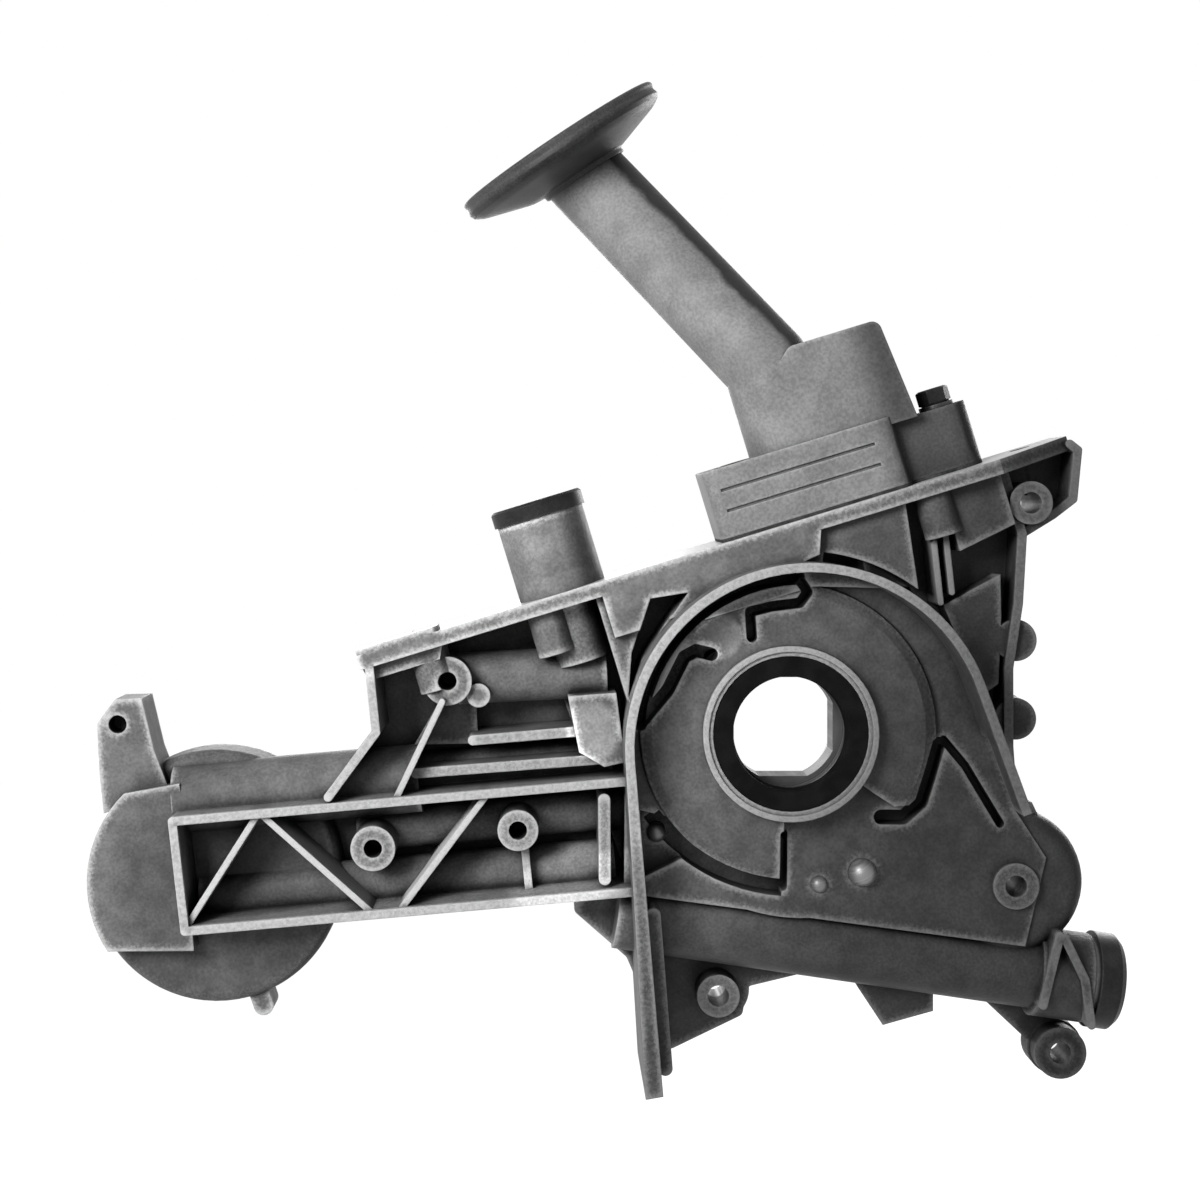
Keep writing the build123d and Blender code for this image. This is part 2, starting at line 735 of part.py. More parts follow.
# ---------------------------------------------------------------- rotor set
with BuildPart() as rear_cover:
    extrude(cover_outline(Plane.XZ, 0), amount=cover_thick)
    extrude(disc(Plane.XZ, cover_bore_radius, (0, 0)), amount=cover_thick, mode=Mode.SUBTRACT)
    with Locations(Plane.XZ * Pos(0, 0, 0)):
        with PolarLocations(cover_ear_ring, 5, start_angle=cover_ear_start):
            Cylinder(screw_radius + 3 * screw_gap, 4 * cover_thick, mode=Mode.SUBTRACT)
            with Locations((0, 0, (screw_head_depth + screw_gap) / 2)):
                Cone(
                    screw_head_radius + screw_gap, screw_radius + screw_gap, screw_head_depth + screw_gap,
                    mode=Mode.SUBTRACT,
                )
rear_cover.part.label = "rear_cover"

with BuildPart() as rear_cover_screws:
    with Locations(Plane.XZ * Pos(0, 0, 0)):
        with PolarLocations(cover_ear_ring, 5, start_angle=cover_ear_start):
            with Locations((0, 0, screw_head_depth / 2)):
                Cone(screw_head_radius, screw_radius, screw_head_depth)
            with Locations((0, 0, screw_length / 2)):
                Cylinder(screw_radius, screw_length)
            with Locations((0, 0, 0.7)):
                Cylinder(screw_key_radius, 1.4, mode=Mode.SUBTRACT)
rear_cover_screws.part.label = "rear_cover_screws"


def lobed_outline(plane):
    # Rotor with evenly repeated lobes, each one spline from root to root
    with BuildSketch(plane) as outline:
        with BuildLine():
            pitch = 2 * pi / lobe_count
            for lobe in range(lobe_count):
                start = (lobe - 0.5) * pitch
                points = [
                    epitrochoid(start + pitch * step / 12, lobe_count, tooth_gap) for step in range(13)
                ]
                across = start + pi / 2
                tangent = (cos(across), sin(across))
                after = (cos(across + pitch), sin(across + pitch))
                Spline(*points, tangents=(tangent, after))
        make_face()
    return outline.sketch


def drive_bore(plane):
    # Crank bore with four drive flats
    with BuildSketch(plane) as bore:
        Circle(crank_radius)
        Rectangle(2 * drive_flat, 2 * drive_flat, rotation=drive_turn, mode=Mode.INTERSECT)
    return bore.sketch


with BuildPart() as inner_rotor:
    extrude(lobed_outline(front(cover_thick + rotor_end_gap)), amount=rotor_thickness - 2 * rotor_end_gap)
    extrude(drive_bore(Plane.XZ), amount=40, mode=Mode.SUBTRACT)
inner_rotor.part.label = "inner_rotor"

with BuildPart() as outer_rotor:
    with BuildSketch(front(cover_thick + rotor_end_gap)):
        with Locations((-rotor_offset, 0)):
            Circle(outer_rotor_radius)
            Circle(arc_ring_radius - arc_radius + 2 * rotor_offset + 0.1, mode=Mode.SUBTRACT)
            with PolarLocations(arc_ring_radius, lobe_count + 1, start_angle=180 / (lobe_count + 1)):
                Circle(arc_radius)
            Circle(outer_rotor_radius, mode=Mode.INTERSECT)
    extrude(amount=rotor_thickness - 2 * rotor_end_gap)
outer_rotor.part.label = "outer_rotor"

# ---------------------------------------------------------------- crank seal
seal_back = boss_front - seal_depth - 0.4
with BuildPart() as crank_seal:
    with BuildSketch(Plane.YZ):
        with BuildLine():
            Polyline(
                (-seal_back, seal_radius), (-seal_back - seal_depth, seal_radius),
                (-seal_back - seal_depth, crank_radius + 0.6),
                (-seal_back - seal_depth + 0.8, crank_radius + 0.2), (-seal_back - 5.2, 19.2),
                (-seal_back - 2.6, crank_radius - 0.2), (-seal_back - 0.8, 18.0),
                (-seal_back - 1.0, 20.0), (-seal_back - 4.4, 20.3), (-seal_back - 5.2, 21.6),
                (-seal_back, 21.6),
                close=True,
            )
        make_face()
    revolve(axis=Axis.Y, revolution_arc=360)
crank_seal.part.label = "crank_seal"

with BuildPart() as crank_seal_spring:
    with Locations(Plane.XZ.offset(seal_back + 2.2)):
        Torus(20.85, 0.6)
crank_seal_spring.part.label = "crank_seal_spring"

# ---------------------------------------------------------------- relief valve
with BuildPart() as relief_piston:
    with Locations((relief_x, relief_y, relief_seat)):
        Cylinder(relief_bore - piston_gap, piston_length, align=(Align.CENTER, Align.CENTER, Align.MIN))
    with Locations((relief_x, relief_y, relief_seat + piston_floor)):
        Cylinder(
            relief_bore - piston_wall, piston_length, align=(Align.CENTER, Align.CENTER, Align.MIN),
            mode=Mode.SUBTRACT,
        )
relief_piston.part.label = "relief_piston"

spring_low = relief_seat + piston_floor
spring_high = chimney_top - relief_cap_stem
with BuildPart() as relief_spring:
    coil_height = spring_high - spring_low - 2 * relief_wire
    with BuildLine(Plane((relief_x, relief_y, spring_low + relief_wire))) as coil:
        Helix(coil_height / relief_turns, coil_height, relief_spring_radius)
    with BuildSketch(Plane(coil.line @ 0, z_dir=coil.line % 0)):
        Circle(relief_wire)
    sweep(path=coil.line, is_frenet=True)
relief_spring.part.label = "relief_spring"

with BuildPart() as relief_cap:
    with Locations((relief_x, relief_y, chimney_top)):
        Cylinder(relief_cap_radius, relief_cap_thick, align=(Align.CENTER, Align.CENTER, Align.MIN))
    chamfer(relief_cap.edges().filter_by(GeomType.CIRCLE).group_by(Axis.Z)[-1], length=0.8)
    with Locations((relief_x, relief_y, chimney_top)):
        Cylinder(relief_bore - 0.1, relief_cap_stem, align=(Align.CENTER, Align.CENTER, Align.MAX))
    with BuildSketch(level(chimney_top + relief_cap_thick)):
        with Locations((relief_x, relief_y)):
            RegularPolygon(4.6, 6)
    extrude(amount=-3, mode=Mode.SUBTRACT)
relief_cap.part.label = "relief_cap"

with BuildPart() as relief_cap_oring:
    with Locations((relief_x, relief_y, chimney_top - oring_wire)):
        Torus(relief_bore + 1.8 - oring_wire, oring_wire)
relief_cap_oring.part.label = "relief_cap_oring"

# ---------------------------------------------------------------- gallery plug
with BuildPart() as gallery_plug_washer:
    extrude(
        disc(gallery_point_plane(gallery_length), gallery_end_radius - 0.4, (0, 0)),
        amount=gallery_washer_thick,
    )
    extrude(
        disc(gallery_point_plane(gallery_length - 1), gallery_bore + 0.1, (0, 0)), amount=5, mode=Mode.SUBTRACT
    )
gallery_plug_washer.part.label = "gallery_plug_washer"

with BuildPart() as gallery_plug:
    extrude(
        disc(gallery_point_plane(gallery_length + gallery_washer_thick), gallery_plug_radius, (0, 0)),
        amount=gallery_plug_thick,
    )
    chamfer(gallery_plug.faces().sort_by(Axis.X)[-1].edges(), length=1.8)
    extrude(
        disc(gallery_point_plane(gallery_length - gallery_plug_stem), gallery_bore - 0.05, (0, 0)),
        amount=gallery_plug_stem + gallery_washer_thick + 1,
    )
    with BuildSketch(gallery_point_plane(gallery_length + gallery_washer_thick + gallery_plug_thick)):
        RegularPolygon(6.2, 6)
    extrude(amount=-5, mode=Mode.SUBTRACT)
gallery_plug.part.label = "gallery_plug"

# ---------------------------------------------------------------- pressed balls, dowels, port ring
with BuildPart() as passage_plugs:
    for x, z, size, face in ball_places:
        with Locations((x, 1.5 - face - size / 2, z)):
            Sphere(size)
passage_plugs.part.label = "passage_plugs"

with BuildPart() as dowel_sleeves:
    for x, z in (bolt_d, bolt_e):
        extrude(ring(front(dowel_inset), dowel_radius, block_bolt_radius + 0.3, x, z), amount=-dowel_length)
dowel_sleeves.part.label = "dowel_sleeves"

with BuildPart() as delivery_oring:
    with Locations(Plane((port_x, -port_groove_deep / 2, port_z), z_dir=(0, 1, 0))):
        Torus(port_groove_inner + port_groove_wide / 2, port_groove_deep / 2)
delivery_oring.part.label = "delivery_oring"

# ---------------------------------------------------------------- filter stud
with BuildPart() as filter_stud:
    with Locations(Plane((head_x, -head_seat, head_z), z_dir=(0, 1, 0))):
        with Locations((0, 0, -3 - stud_in)):
            Cylinder(
                stud_radius - 0.05, stud_in + 3 + stud_out, align=(Align.CENTER, Align.CENTER, Align.MIN)
            )
        chamfer(filter_stud.edges().filter_by(GeomType.CIRCLE).group_by(Axis.Y)[-1], length=1.2)
        with Locations((0, 0, -3)):
            Cylinder(stud_radius + 2.5, 2.6, align=(Align.CENTER, Align.CENTER, Align.MIN))
        with Locations((0, 0, -40)):
            Cylinder(stud_bore, 90, align=(Align.CENTER, Align.CENTER, Align.MIN), mode=Mode.SUBTRACT)
filter_stud.part.label = "filter_stud"

# ---------------------------------------------------------------- suction pipe
pickup_foot = sump_face + gasket_thick
pickup_bolt_seats = ((pickup_bolt_left, pickup_seat_left), (pickup_bolt_right, pickup_seat_right))
elbow = (27.6, -17.0, 108.5)
pipe_toward = (-0.389, 0.312, 0.866)
bell_lean = radians(bell_tilt)
bell_plane = Plane(
    origin=(bell_x, bell_y, bell_z),
    x_dir=(cos(bell_lean), 0, sin(bell_lean)),
    z_dir=(-sin(bell_lean), -bell_nod, cos(bell_lean)),
)


def pickup_block(plane):
    # Outline of the block under the elbow
    with BuildSketch(plane) as outline:
        with Locations(((pickup_left + pickup_right) / 2, pickup_y)):
            RectangleRounded(pickup_right - pickup_left, pickup_depth, 4)
    return outline.sketch


def pickup_ear(plane):
    # Outline of the right bolt ear
    with BuildSketch(plane) as outline:
        with Locations((pickup_bolt_right, pickup_y)):
            Circle(8.5)
        with Locations((pickup_bolt_right - 12, pickup_y)):
            Rectangle(24, 17)
    return outline.sketch


with BuildPart() as pickup_tube:
    # Foot block with layer grooves and bolt seats
    extrude(pickup_block(level(pickup_foot)), amount=pickup_base_top - pickup_foot)
    extrude(pickup_ear(level(pickup_foot)), amount=pickup_seat_right - pickup_foot)
    with BuildSketch(level(pickup_seat_left)):
        with Locations((pickup_bolt_left, pickup_y)):
            Circle(pickup_washer_radius + 1.2)
    extrude(amount=20, mode=Mode.SUBTRACT)
    for height in (69.0, 75.4):
        with BuildSketch(level(height)):
            with Locations(((pickup_left + 54) / 2, pickup_y - pickup_depth / 2)):
                Rectangle(54 - pickup_left - 8, 1.4)
        extrude(amount=0.9, mode=Mode.SUBTRACT)
    # Web between the block and the right bolt ear
    seat = pickup_seat_right
    extrude(area(front(12), (55, 70), (74, 70), (74, seat), (66.5, seat), (60, 95)), amount=10)
    # Upper block, elbow column and pipe
    with BuildSketch(front(-pickup_y - pipe_radius)) as upper_block:
        with BuildLine():
            Polyline((27.6, 80), (65, 80), (62, block_top), (34, block_top), (27.6, 106), close=True)
        make_face()
        fillet(upper_block.vertices().group_by(Axis.Y)[-1], radius=3)
    extrude(amount=2 * pipe_radius)
    with BuildSketch(level(pickup_seat_left - 4)):
        with Locations((elbow[0], elbow[1])):
            Circle(pipe_radius)
    extrude(amount=elbow[2] - pickup_seat_left + 4)
    with Locations(elbow):
        Sphere(pipe_radius)
    with BuildSketch(Plane(origin=elbow, z_dir=pipe_toward)):
        Circle(pipe_radius)
    extrude(amount=120)
    # Trim the pipe just inside the bell
    with BuildSketch(bell_plane.offset(-5)):
        Circle(60)
    extrude(amount=80, mode=Mode.SUBTRACT)
    # Suction way through pipe, elbow and foot
    with Locations(elbow):
        Sphere(pipe_radius - pipe_wall, mode=Mode.SUBTRACT)
    with BuildSketch(Plane(origin=elbow, z_dir=pipe_toward)):
        Circle(pipe_radius - pipe_wall)
    extrude(amount=130, mode=Mode.SUBTRACT)
    with BuildSketch(level(pickup_foot)):
        with Locations((suction_x, suction_y)):
            Circle(suction_bore)
    extrude(amount=elbow[2] - pickup_foot, mode=Mode.SUBTRACT)
    # Bolt holes
    with BuildSketch(level(pickup_foot)):
        with Locations((pickup_bolt_left, pickup_y), (pickup_bolt_right, pickup_y)):
            Circle(pickup_bolt_radius + 0.3)
    extrude(amount=30, mode=Mode.SUBTRACT)
pickup_tube.part.label = "pickup_tube"

with BuildPart() as pickup_gasket:
    extrude(pickup_block(level(sump_face)), amount=gasket_thick)
    extrude(pickup_ear(level(sump_face)), amount=gasket_thick)
    with BuildSketch(level(sump_face)):
        with Locations((suction_x, suction_y)):
            Circle(suction_bore + 0.5)
        with Locations((pickup_bolt_left, pickup_y), (pickup_bolt_right, pickup_y)):
            Circle(pickup_bolt_radius + 0.3)
    extrude(amount=gasket_thick, mode=Mode.SUBTRACT)
pickup_gasket.part.label = "pickup_gasket"

with BuildPart() as pickup_bolts:
    for x, seat in pickup_bolt_seats:
        with Locations((x, pickup_y, seat + pickup_washer_thick)):
            Cylinder(
                pickup_bolt_radius - 0.02, seat + pickup_washer_thick - 46,
                align=(Align.CENTER, Align.CENTER, Align.MAX),
            )
        with BuildSketch(level(seat + pickup_washer_thick)):
            with Locations((x, pickup_y)):
                RegularPolygon(pickup_bolt_head, 6)
        extrude(amount=pickup_bolt_head_high)
pickup_bolts.part.label = "pickup_bolts"

with BuildPart() as pickup_bolt_washers:
    for x, seat in pickup_bolt_seats:
        with BuildSketch(level(seat)):
            with Locations((x, pickup_y)):
                Circle(pickup_washer_radius)
                Circle(pickup_bolt_radius + 0.15, mode=Mode.SUBTRACT)
        extrude(amount=pickup_washer_thick)
pickup_bolt_washers.part.label = "pickup_bolt_washers"

# ---------------------------------------------------------------- strainer bell
with BuildPart() as strainer_bell:
    with BuildSketch(Plane.XZ):
        with BuildLine():
            Polyline(
                (4, -bell_cone), (17, -bell_cone), (bell_radius - 3, -2), (bell_radius, 0),
                (bell_radius, bell_skirt), (bell_radius - bell_sheet, bell_skirt),
                (bell_radius - bell_sheet, 0.9), (bell_radius - 3.6, -0.7), (16.6, -bell_cone + bell_sheet),
                (4, -bell_cone + bell_sheet),
                close=True,
            )
        make_face()
    revolve(axis=Axis.Z, revolution_arc=360)
strainer_bell.part = bell_plane * strainer_bell.part

with BuildPart() as pipe_space:
    with BuildSketch(Plane(origin=elbow, z_dir=pipe_toward)):
        Circle(pipe_radius + 0.05)
    extrude(amount=140)
strainer_bell.part = strainer_bell.part - pipe_space.part
strainer_bell.part.label = "strainer_bell"

with BuildPart() as strainer_screen:
    with BuildSketch(bell_plane.offset(bell_skirt - 2)):
        Circle(bell_radius - bell_sheet - screen_fit)
        with PolarLocations(10, 6):
            Circle(3.4, mode=Mode.SUBTRACT)
        with PolarLocations(19.5, 12):
            Circle(3.4, mode=Mode.SUBTRACT)
        with PolarLocations(28, 18):
            Circle(3.0, mode=Mode.SUBTRACT)
    extrude(amount=1)
strainer_screen.part.label = "strainer_screen"

with BuildPart() as strainer_ring:
    with BuildSketch(bell_plane.offset(bell_skirt - 1)):
        Circle(bell_radius - bell_sheet - screen_fit)
        Circle(bell_radius - bell_sheet - 2.6, mode=Mode.SUBTRACT)
    extrude(amount=1)
strainer_ring.part.label = "strainer_ring"

for piece in (
    pump_housing, rear_cover, rear_cover_screws, inner_rotor, outer_rotor, crank_seal, crank_seal_spring,
    relief_piston, relief_spring, relief_cap, relief_cap_oring, gallery_plug, gallery_plug_washer,
    passage_plugs, dowel_sleeves, delivery_oring, filter_stud, pickup_tube, pickup_gasket, pickup_bolts,
    pickup_bolt_washers, strainer_bell, strainer_screen, strainer_ring,
):
    export_step(piece.part, f"parts/{piece.part.label}.step")
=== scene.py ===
import bpy
import math
import numpy as np
from mathutils import Matrix, Vector


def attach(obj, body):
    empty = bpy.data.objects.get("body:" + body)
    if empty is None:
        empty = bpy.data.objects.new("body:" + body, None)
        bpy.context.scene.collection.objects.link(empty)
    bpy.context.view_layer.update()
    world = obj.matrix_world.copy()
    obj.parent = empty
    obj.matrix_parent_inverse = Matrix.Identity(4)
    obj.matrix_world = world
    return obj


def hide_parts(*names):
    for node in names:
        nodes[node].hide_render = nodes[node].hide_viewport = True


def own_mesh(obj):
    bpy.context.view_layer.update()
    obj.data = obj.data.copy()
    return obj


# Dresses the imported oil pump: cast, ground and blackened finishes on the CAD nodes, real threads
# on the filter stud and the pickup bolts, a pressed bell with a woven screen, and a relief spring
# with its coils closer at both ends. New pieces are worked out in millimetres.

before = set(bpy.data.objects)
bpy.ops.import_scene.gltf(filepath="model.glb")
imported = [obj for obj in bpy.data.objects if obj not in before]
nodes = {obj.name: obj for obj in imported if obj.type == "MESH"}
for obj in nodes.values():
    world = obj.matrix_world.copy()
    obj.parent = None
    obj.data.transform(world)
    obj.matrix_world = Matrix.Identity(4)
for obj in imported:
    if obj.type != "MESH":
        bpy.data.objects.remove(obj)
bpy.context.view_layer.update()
print("frame loaded with", len(nodes), "nodes")

cameraSetup = {
    "place": (-0.05105, -0.594, 0.09058),
    "rollDegrees": 17.0,
    "sensorMm": 36.0,
    "lensMm": 56.0,
    "shift": (0.05, -0.0875),
    "nearest": 0.01,
}


def addCamera(setup):
    # looks straight along +Y, rolled so that the sump flange rises to the right
    roll = math.radians(setup["rollDegrees"])
    right = Vector((math.cos(roll), 0, -math.sin(roll)))
    up = Vector((math.sin(roll), 0, math.cos(roll)))
    back = Vector((0, -1, 0))
    data = bpy.data.cameras.new("photoCamera")
    data.sensor_width = setup["sensorMm"]
    data.lens = setup["lensMm"]
    data.shift_x, data.shift_y = setup["shift"]
    data.clip_start = setup["nearest"]
    camera = bpy.data.objects.new("photoCamera", data)
    bpy.context.collection.objects.link(camera)
    place = Matrix((right, up, back)).transposed().to_4x4()
    place.translation = Vector(setup["place"])
    camera.matrix_world = place
    bpy.context.scene.camera = camera


addCamera(cameraSetup)

studio = {
    "brightSide": 0.26,  # light from the surroundings at the upper left in front
    "darkSide": 0.16,  # and from the side opposite
    "brightToward": (-0.66, -0.45, 0.60),
    "brightSpan": (-0.7, 0.9),  # direction . brightToward at the dark and at the bright end
    "lamps": {
        # in front at the upper left, near enough to fall off across the pump
        "keyLamp": {"watts": 7.6, "size": 0.32, "place": (-0.38, -0.60, 0.42)},
        # behind the block face, for the rear alone
        "backLamp": {"watts": 2.1, "size": 0.4, "place": (-0.15, 0.90, 0.30)},
        # for the gallery plug side, set back so that the front keeps its shade
        "sideLamp": {"watts": 5.0, "size": 0.5, "place": (0.62, 0.86, 0.10)},
    },
    "aim": (-0.04, 0.0, 0.04),
    "floorLevel": -0.34,
    "floorHalf": 6.0,
    "floorTone": 0.86,
    "floorRoughness": 0.9,
    "floorGlow": 1.22,
    "floorGlowShare": 0.8,
}


def addSoftLamp(name, lampSetup, aim):
    # square lamp whose face looks at the aim; the camera doesn't see it
    data = bpy.data.lights.new(name, "AREA")
    data.energy = lampSetup["watts"]
    data.size = lampSetup["size"]
    lamp = bpy.data.objects.new(name, data)
    bpy.context.collection.objects.link(lamp)
    lamp.location = lampSetup["place"]
    away = Vector(lampSetup["place"]) - Vector(aim)
    lamp.rotation_euler = away.to_track_quat("Z", "Y").to_euler()
    lamp.visible_camera = False


def whiteRays(tree):
    # one for the rays that see or mirror the background, nought for those that carry its light
    rays = tree.nodes.new("ShaderNodeLightPath")
    found = rays.outputs["Is Camera Ray"]
    for ray in ("Is Glossy Ray", "Is Transmission Ray"):
        either = tree.nodes.new("ShaderNodeMath")
        either.operation = "MAXIMUM"
        tree.links.new(found, either.inputs[0])
        tree.links.new(rays.outputs[ray], either.inputs[1])
        found = either.outputs[0]
    return found


def addWorld(setup):
    # grey for the light on the object, growing with direction . brightToward, and plain white
    # for what is seen and mirrored
    world = bpy.data.worlds.new("studioWorld")
    bpy.context.scene.world = world
    world.use_nodes = True
    tree = world.node_tree
    along = tree.nodes.new("ShaderNodeVectorMath")
    along.operation = "DOT_PRODUCT"
    tree.links.new(tree.nodes.new("ShaderNodeTexCoord").outputs["Generated"], along.inputs[0])
    along.inputs[1].default_value = setup["brightToward"]
    side = tree.nodes.new("ShaderNodeMapRange")
    side.inputs["From Min"].default_value = setup["brightSpan"][0]
    side.inputs["From Max"].default_value = setup["brightSpan"][1]
    side.inputs["To Min"].default_value = setup["darkSide"]
    side.inputs["To Max"].default_value = setup["brightSide"]
    tree.links.new(along.outputs["Value"], side.inputs["Value"])
    level = tree.nodes.new("ShaderNodeMapRange")
    level.inputs["To Max"].default_value = 1.0
    tree.links.new(side.outputs["Result"], level.inputs["To Min"])
    tree.links.new(whiteRays(tree), level.inputs["Value"])
    sky = tree.nodes["Background"]
    sky.inputs["Color"].default_value = (1, 1, 1, 1)
    tree.links.new(level.outputs["Result"], sky.inputs["Strength"])


def addFloor(setup):
    # pale floor well below the pump, white to the eye apart from the soft shadow
    half, low, tone = setup["floorHalf"], setup["floorLevel"], setup["floorTone"]
    mesh = bpy.data.meshes.new("studioFloor")
    corners = [(-half, -half, low), (half, -half, low), (half, half, low), (-half, half, low)]
    mesh.from_pydata(corners, [], [(0, 1, 2, 3)])
    floor = bpy.data.objects.new("studioFloor", mesh)
    bpy.context.collection.objects.link(floor)
    paint = bpy.data.materials.new("paleFloor")
    paint.use_nodes = True
    tree = paint.node_tree
    shader = tree.nodes["Principled BSDF"]
    shader.inputs["Base Color"].default_value = (tone, tone, tone, 1)
    shader.inputs["Roughness"].default_value = setup["floorRoughness"]
    share = tree.nodes.new("ShaderNodeMath")
    share.operation = "MULTIPLY"
    share.inputs[1].default_value = setup["floorGlowShare"]
    tree.links.new(whiteRays(tree), share.inputs[0])
    glow = tree.nodes.new("ShaderNodeEmission")
    glow.inputs["Color"].default_value = (1, 1, 1, 1)
    glow.inputs["Strength"].default_value = setup["floorGlow"]
    blend = tree.nodes.new("ShaderNodeMixShader")
    tree.links.new(share.outputs[0], blend.inputs["Fac"])
    tree.links.new(shader.outputs[0], blend.inputs[1])
    tree.links.new(glow.outputs[0], blend.inputs[2])
    tree.links.new(blend.outputs[0], tree.nodes["Material Output"].inputs["Surface"])
    mesh.materials.append(paint)


addWorld(studio)
for lampName, lampLook in studio["lamps"].items():
    addSoftLamp(lampName, lampLook, studio["aim"])
addFloor(studio)
bpy.context.scene.view_settings.view_transform = "Standard"
print("camera and studio ready")


class Paint:
    # small helper round one material's nodes
    def __init__(self, name):
        self.material = bpy.data.materials.new(name)
        self.material.use_nodes = True
        self.tree = self.material.node_tree
        self.shader = self.tree.nodes["Principled BSDF"]
        coordinates = self.node("ShaderNodeTexCoord")
        self.place = coordinates.outputs["Object"]
        self.facing = coordinates.outputs["Normal"]

    def node(self, kind, **settings):
        made = self.tree.nodes.new(kind)
        for key, value in settings.items():
            setattr(made, key, value)
        return made

    def feed(self, source, target):
        if isinstance(source, (int, float, tuple)):
            target.default_value = source
        else:
            self.tree.links.new(source, target)

    def math(self, operation, first, second=0.0):
        made = self.node("ShaderNodeMath", operation=operation)
        self.feed(first, made.inputs[0])
        self.feed(second, made.inputs[1])
        return made.outputs[0]

    def vector(self, operation, first, second=None):
        made = self.node("ShaderNodeVectorMath", operation=operation)
        self.feed(first, made.inputs[0])
        if second is not None:
            self.feed(second, made.inputs[1])
        scalar = operation in ("DOT_PRODUCT", "LENGTH")
        return made.outputs["Value" if scalar else "Vector"]

    def remap(self, value, span, out=(0.0, 1.0)):
        # smooth step from out[0] at span[0] to out[1] at span[1]
        made = self.node("ShaderNodeMapRange", interpolation_type="SMOOTHSTEP")
        self.feed(value, made.inputs["Value"])
        made.inputs["From Min"].default_value, made.inputs["From Max"].default_value = span
        made.inputs["To Min"].default_value, made.inputs["To Max"].default_value = out
        return made.outputs["Result"]

    def noise(self, scale, detail, stretch=None):
        made = self.node("ShaderNodeTexNoise")
        made.inputs["Scale"].default_value = scale
        made.inputs["Detail"].default_value = detail
        source = self.place
        if stretch:
            squeeze = self.node("ShaderNodeMapping")
            squeeze.inputs["Scale"].default_value = stretch
            self.feed(source, squeeze.inputs["Vector"])
            source = squeeze.outputs["Vector"]
        self.feed(source, made.inputs["Vector"])
        return made.outputs["Fac"]

    def mix(self, share, first, second, blend="MIX"):
        made = self.node("ShaderNodeMix", data_type="RGBA", blend_type=blend)
        self.feed(share, made.inputs[0])
        self.feed(first, made.inputs[6])
        self.feed(second, made.inputs[7])
        return made.outputs[2]

    def scaled(self, colour, factor):
        return self.mix(1.0, colour, factor, "MULTIPLY")

    def between(self, share, first, second):
        made = self.node("ShaderNodeMix", data_type="FLOAT")
        self.feed(share, made.inputs[0])
        self.feed(first, made.inputs[2])
        self.feed(second, made.inputs[3])
        return made.outputs[0]

    def openness(self, reach, inside=False):
        made = self.node("ShaderNodeAmbientOcclusion", inside=inside, samples=5)
        made.inputs["Distance"].default_value = reach
        return made.outputs["AO"]

    def distanceTo(self, spot):
        # length of (place - centre) * across
        shift = self.vector("SUBTRACT", self.place, spot["centre"])
        return self.vector("LENGTH", self.vector("MULTIPLY", shift, spot["across"]))


def grey(tone):
    # one tone for red, green and blue
    return (tone, tone, tone, 1.0)


castNoise = {
    "blotchDetail": 4.0, "blotchSpan": (0.32, 0.68),
    "fineDetail": 5.0, "fineSpan": (0.3, 0.7),
    "roughSpan": (0.25, 0.75), "roughSwing": 0.07,
    "edgeSwing": 0.08,  # how far the grain moves the border of a light edge
    "sideShadeSwing": 0.06,  # and the blotches that of the painted side shade
    "cavitySpan": (0.15, 0.85),
    "spotCore": 0.75,  # share of a spot's reach that has its whole gain
    "lineDetail": 3.0, "lineTones": (0.93, 1.05),
    "milledRoughness": 0.34, "milledGrain": 0.15,
    "squareFrom": 0.8,  # a face is square to an axis when its normal has this much of it
}


def paintedEdgeHighlight(paint, body, fine, look):
    # painted highlight: thin = 1 - openness looking inwards, which grows near an edge and in a
    # thin wall
    thin = paint.math("SUBTRACT", 1.0, paint.openness(look["edgeReach"], inside=True))
    swing = castNoise["edgeSwing"]
    broken = paint.math("ADD", thin, paint.remap(fine, castNoise["fineSpan"], (-swing, swing)))
    edge = paint.remap(broken, (look["edgeFrom"], look["edgeTo"]), (0.0, look["edgeShare"]))
    return paint.mix(edge, body, grey(look["edgeTone"]))


def paintedCavityShade(paint, body, look):
    # painted shade in hollows: openness within cavityReach takes the tone from cavityDark up to
    # the whole
    depth = paint.openness(look["cavityReach"])
    shade = paint.remap(depth, castNoise["cavitySpan"], (look["cavityDark"], 1.0))
    return paint.scaled(body, shade)


def rampShaded(paint, body, look):
    # painted shade: the tone is scaled from one factor to the other along a direction in the
    # object
    along = paint.vector("DOT_PRODUCT", paint.place, look["rampShadeAlong"])
    factors = (look["rampShadeLight"], look["rampShadeDark"])
    return paint.scaled(body, paint.remap(along, (look["rampShadeFrom"], look["rampShadeTo"]), factors))


def paintLightSpot(paint, body, spot):
    # painted light and shade: the tone times a gain round a centre, fading to one at the spot's
    # reach; a gain above one is a painted pool of light, one below it painted shade
    span = (spot["reach"] * castNoise["spotCore"], spot["reach"])
    return paint.scaled(body, paint.remap(paint.distanceTo(spot), span, (spot["gain"], 1.0)))


def sideShaded(paint, body, blotch, look):
    # painted shade: darker where normal . the given direction is high, on faces turned away from
    # the key lamp, with a border that follows the blotches
    turned = paint.vector("DOT_PRODUCT", paint.facing, look["sideShadeToward"])
    swing = castNoise["sideShadeSwing"]
    ragged = paint.math("ADD", turned, paint.remap(blotch, (0.0, 1.0), (-swing, swing)))
    sideShade = paint.remap(ragged, (look["sideShadeFrom"], look["sideShadeTo"]), (1.0, look["sideShadeDark"]))
    return paint.scaled(body, sideShade)


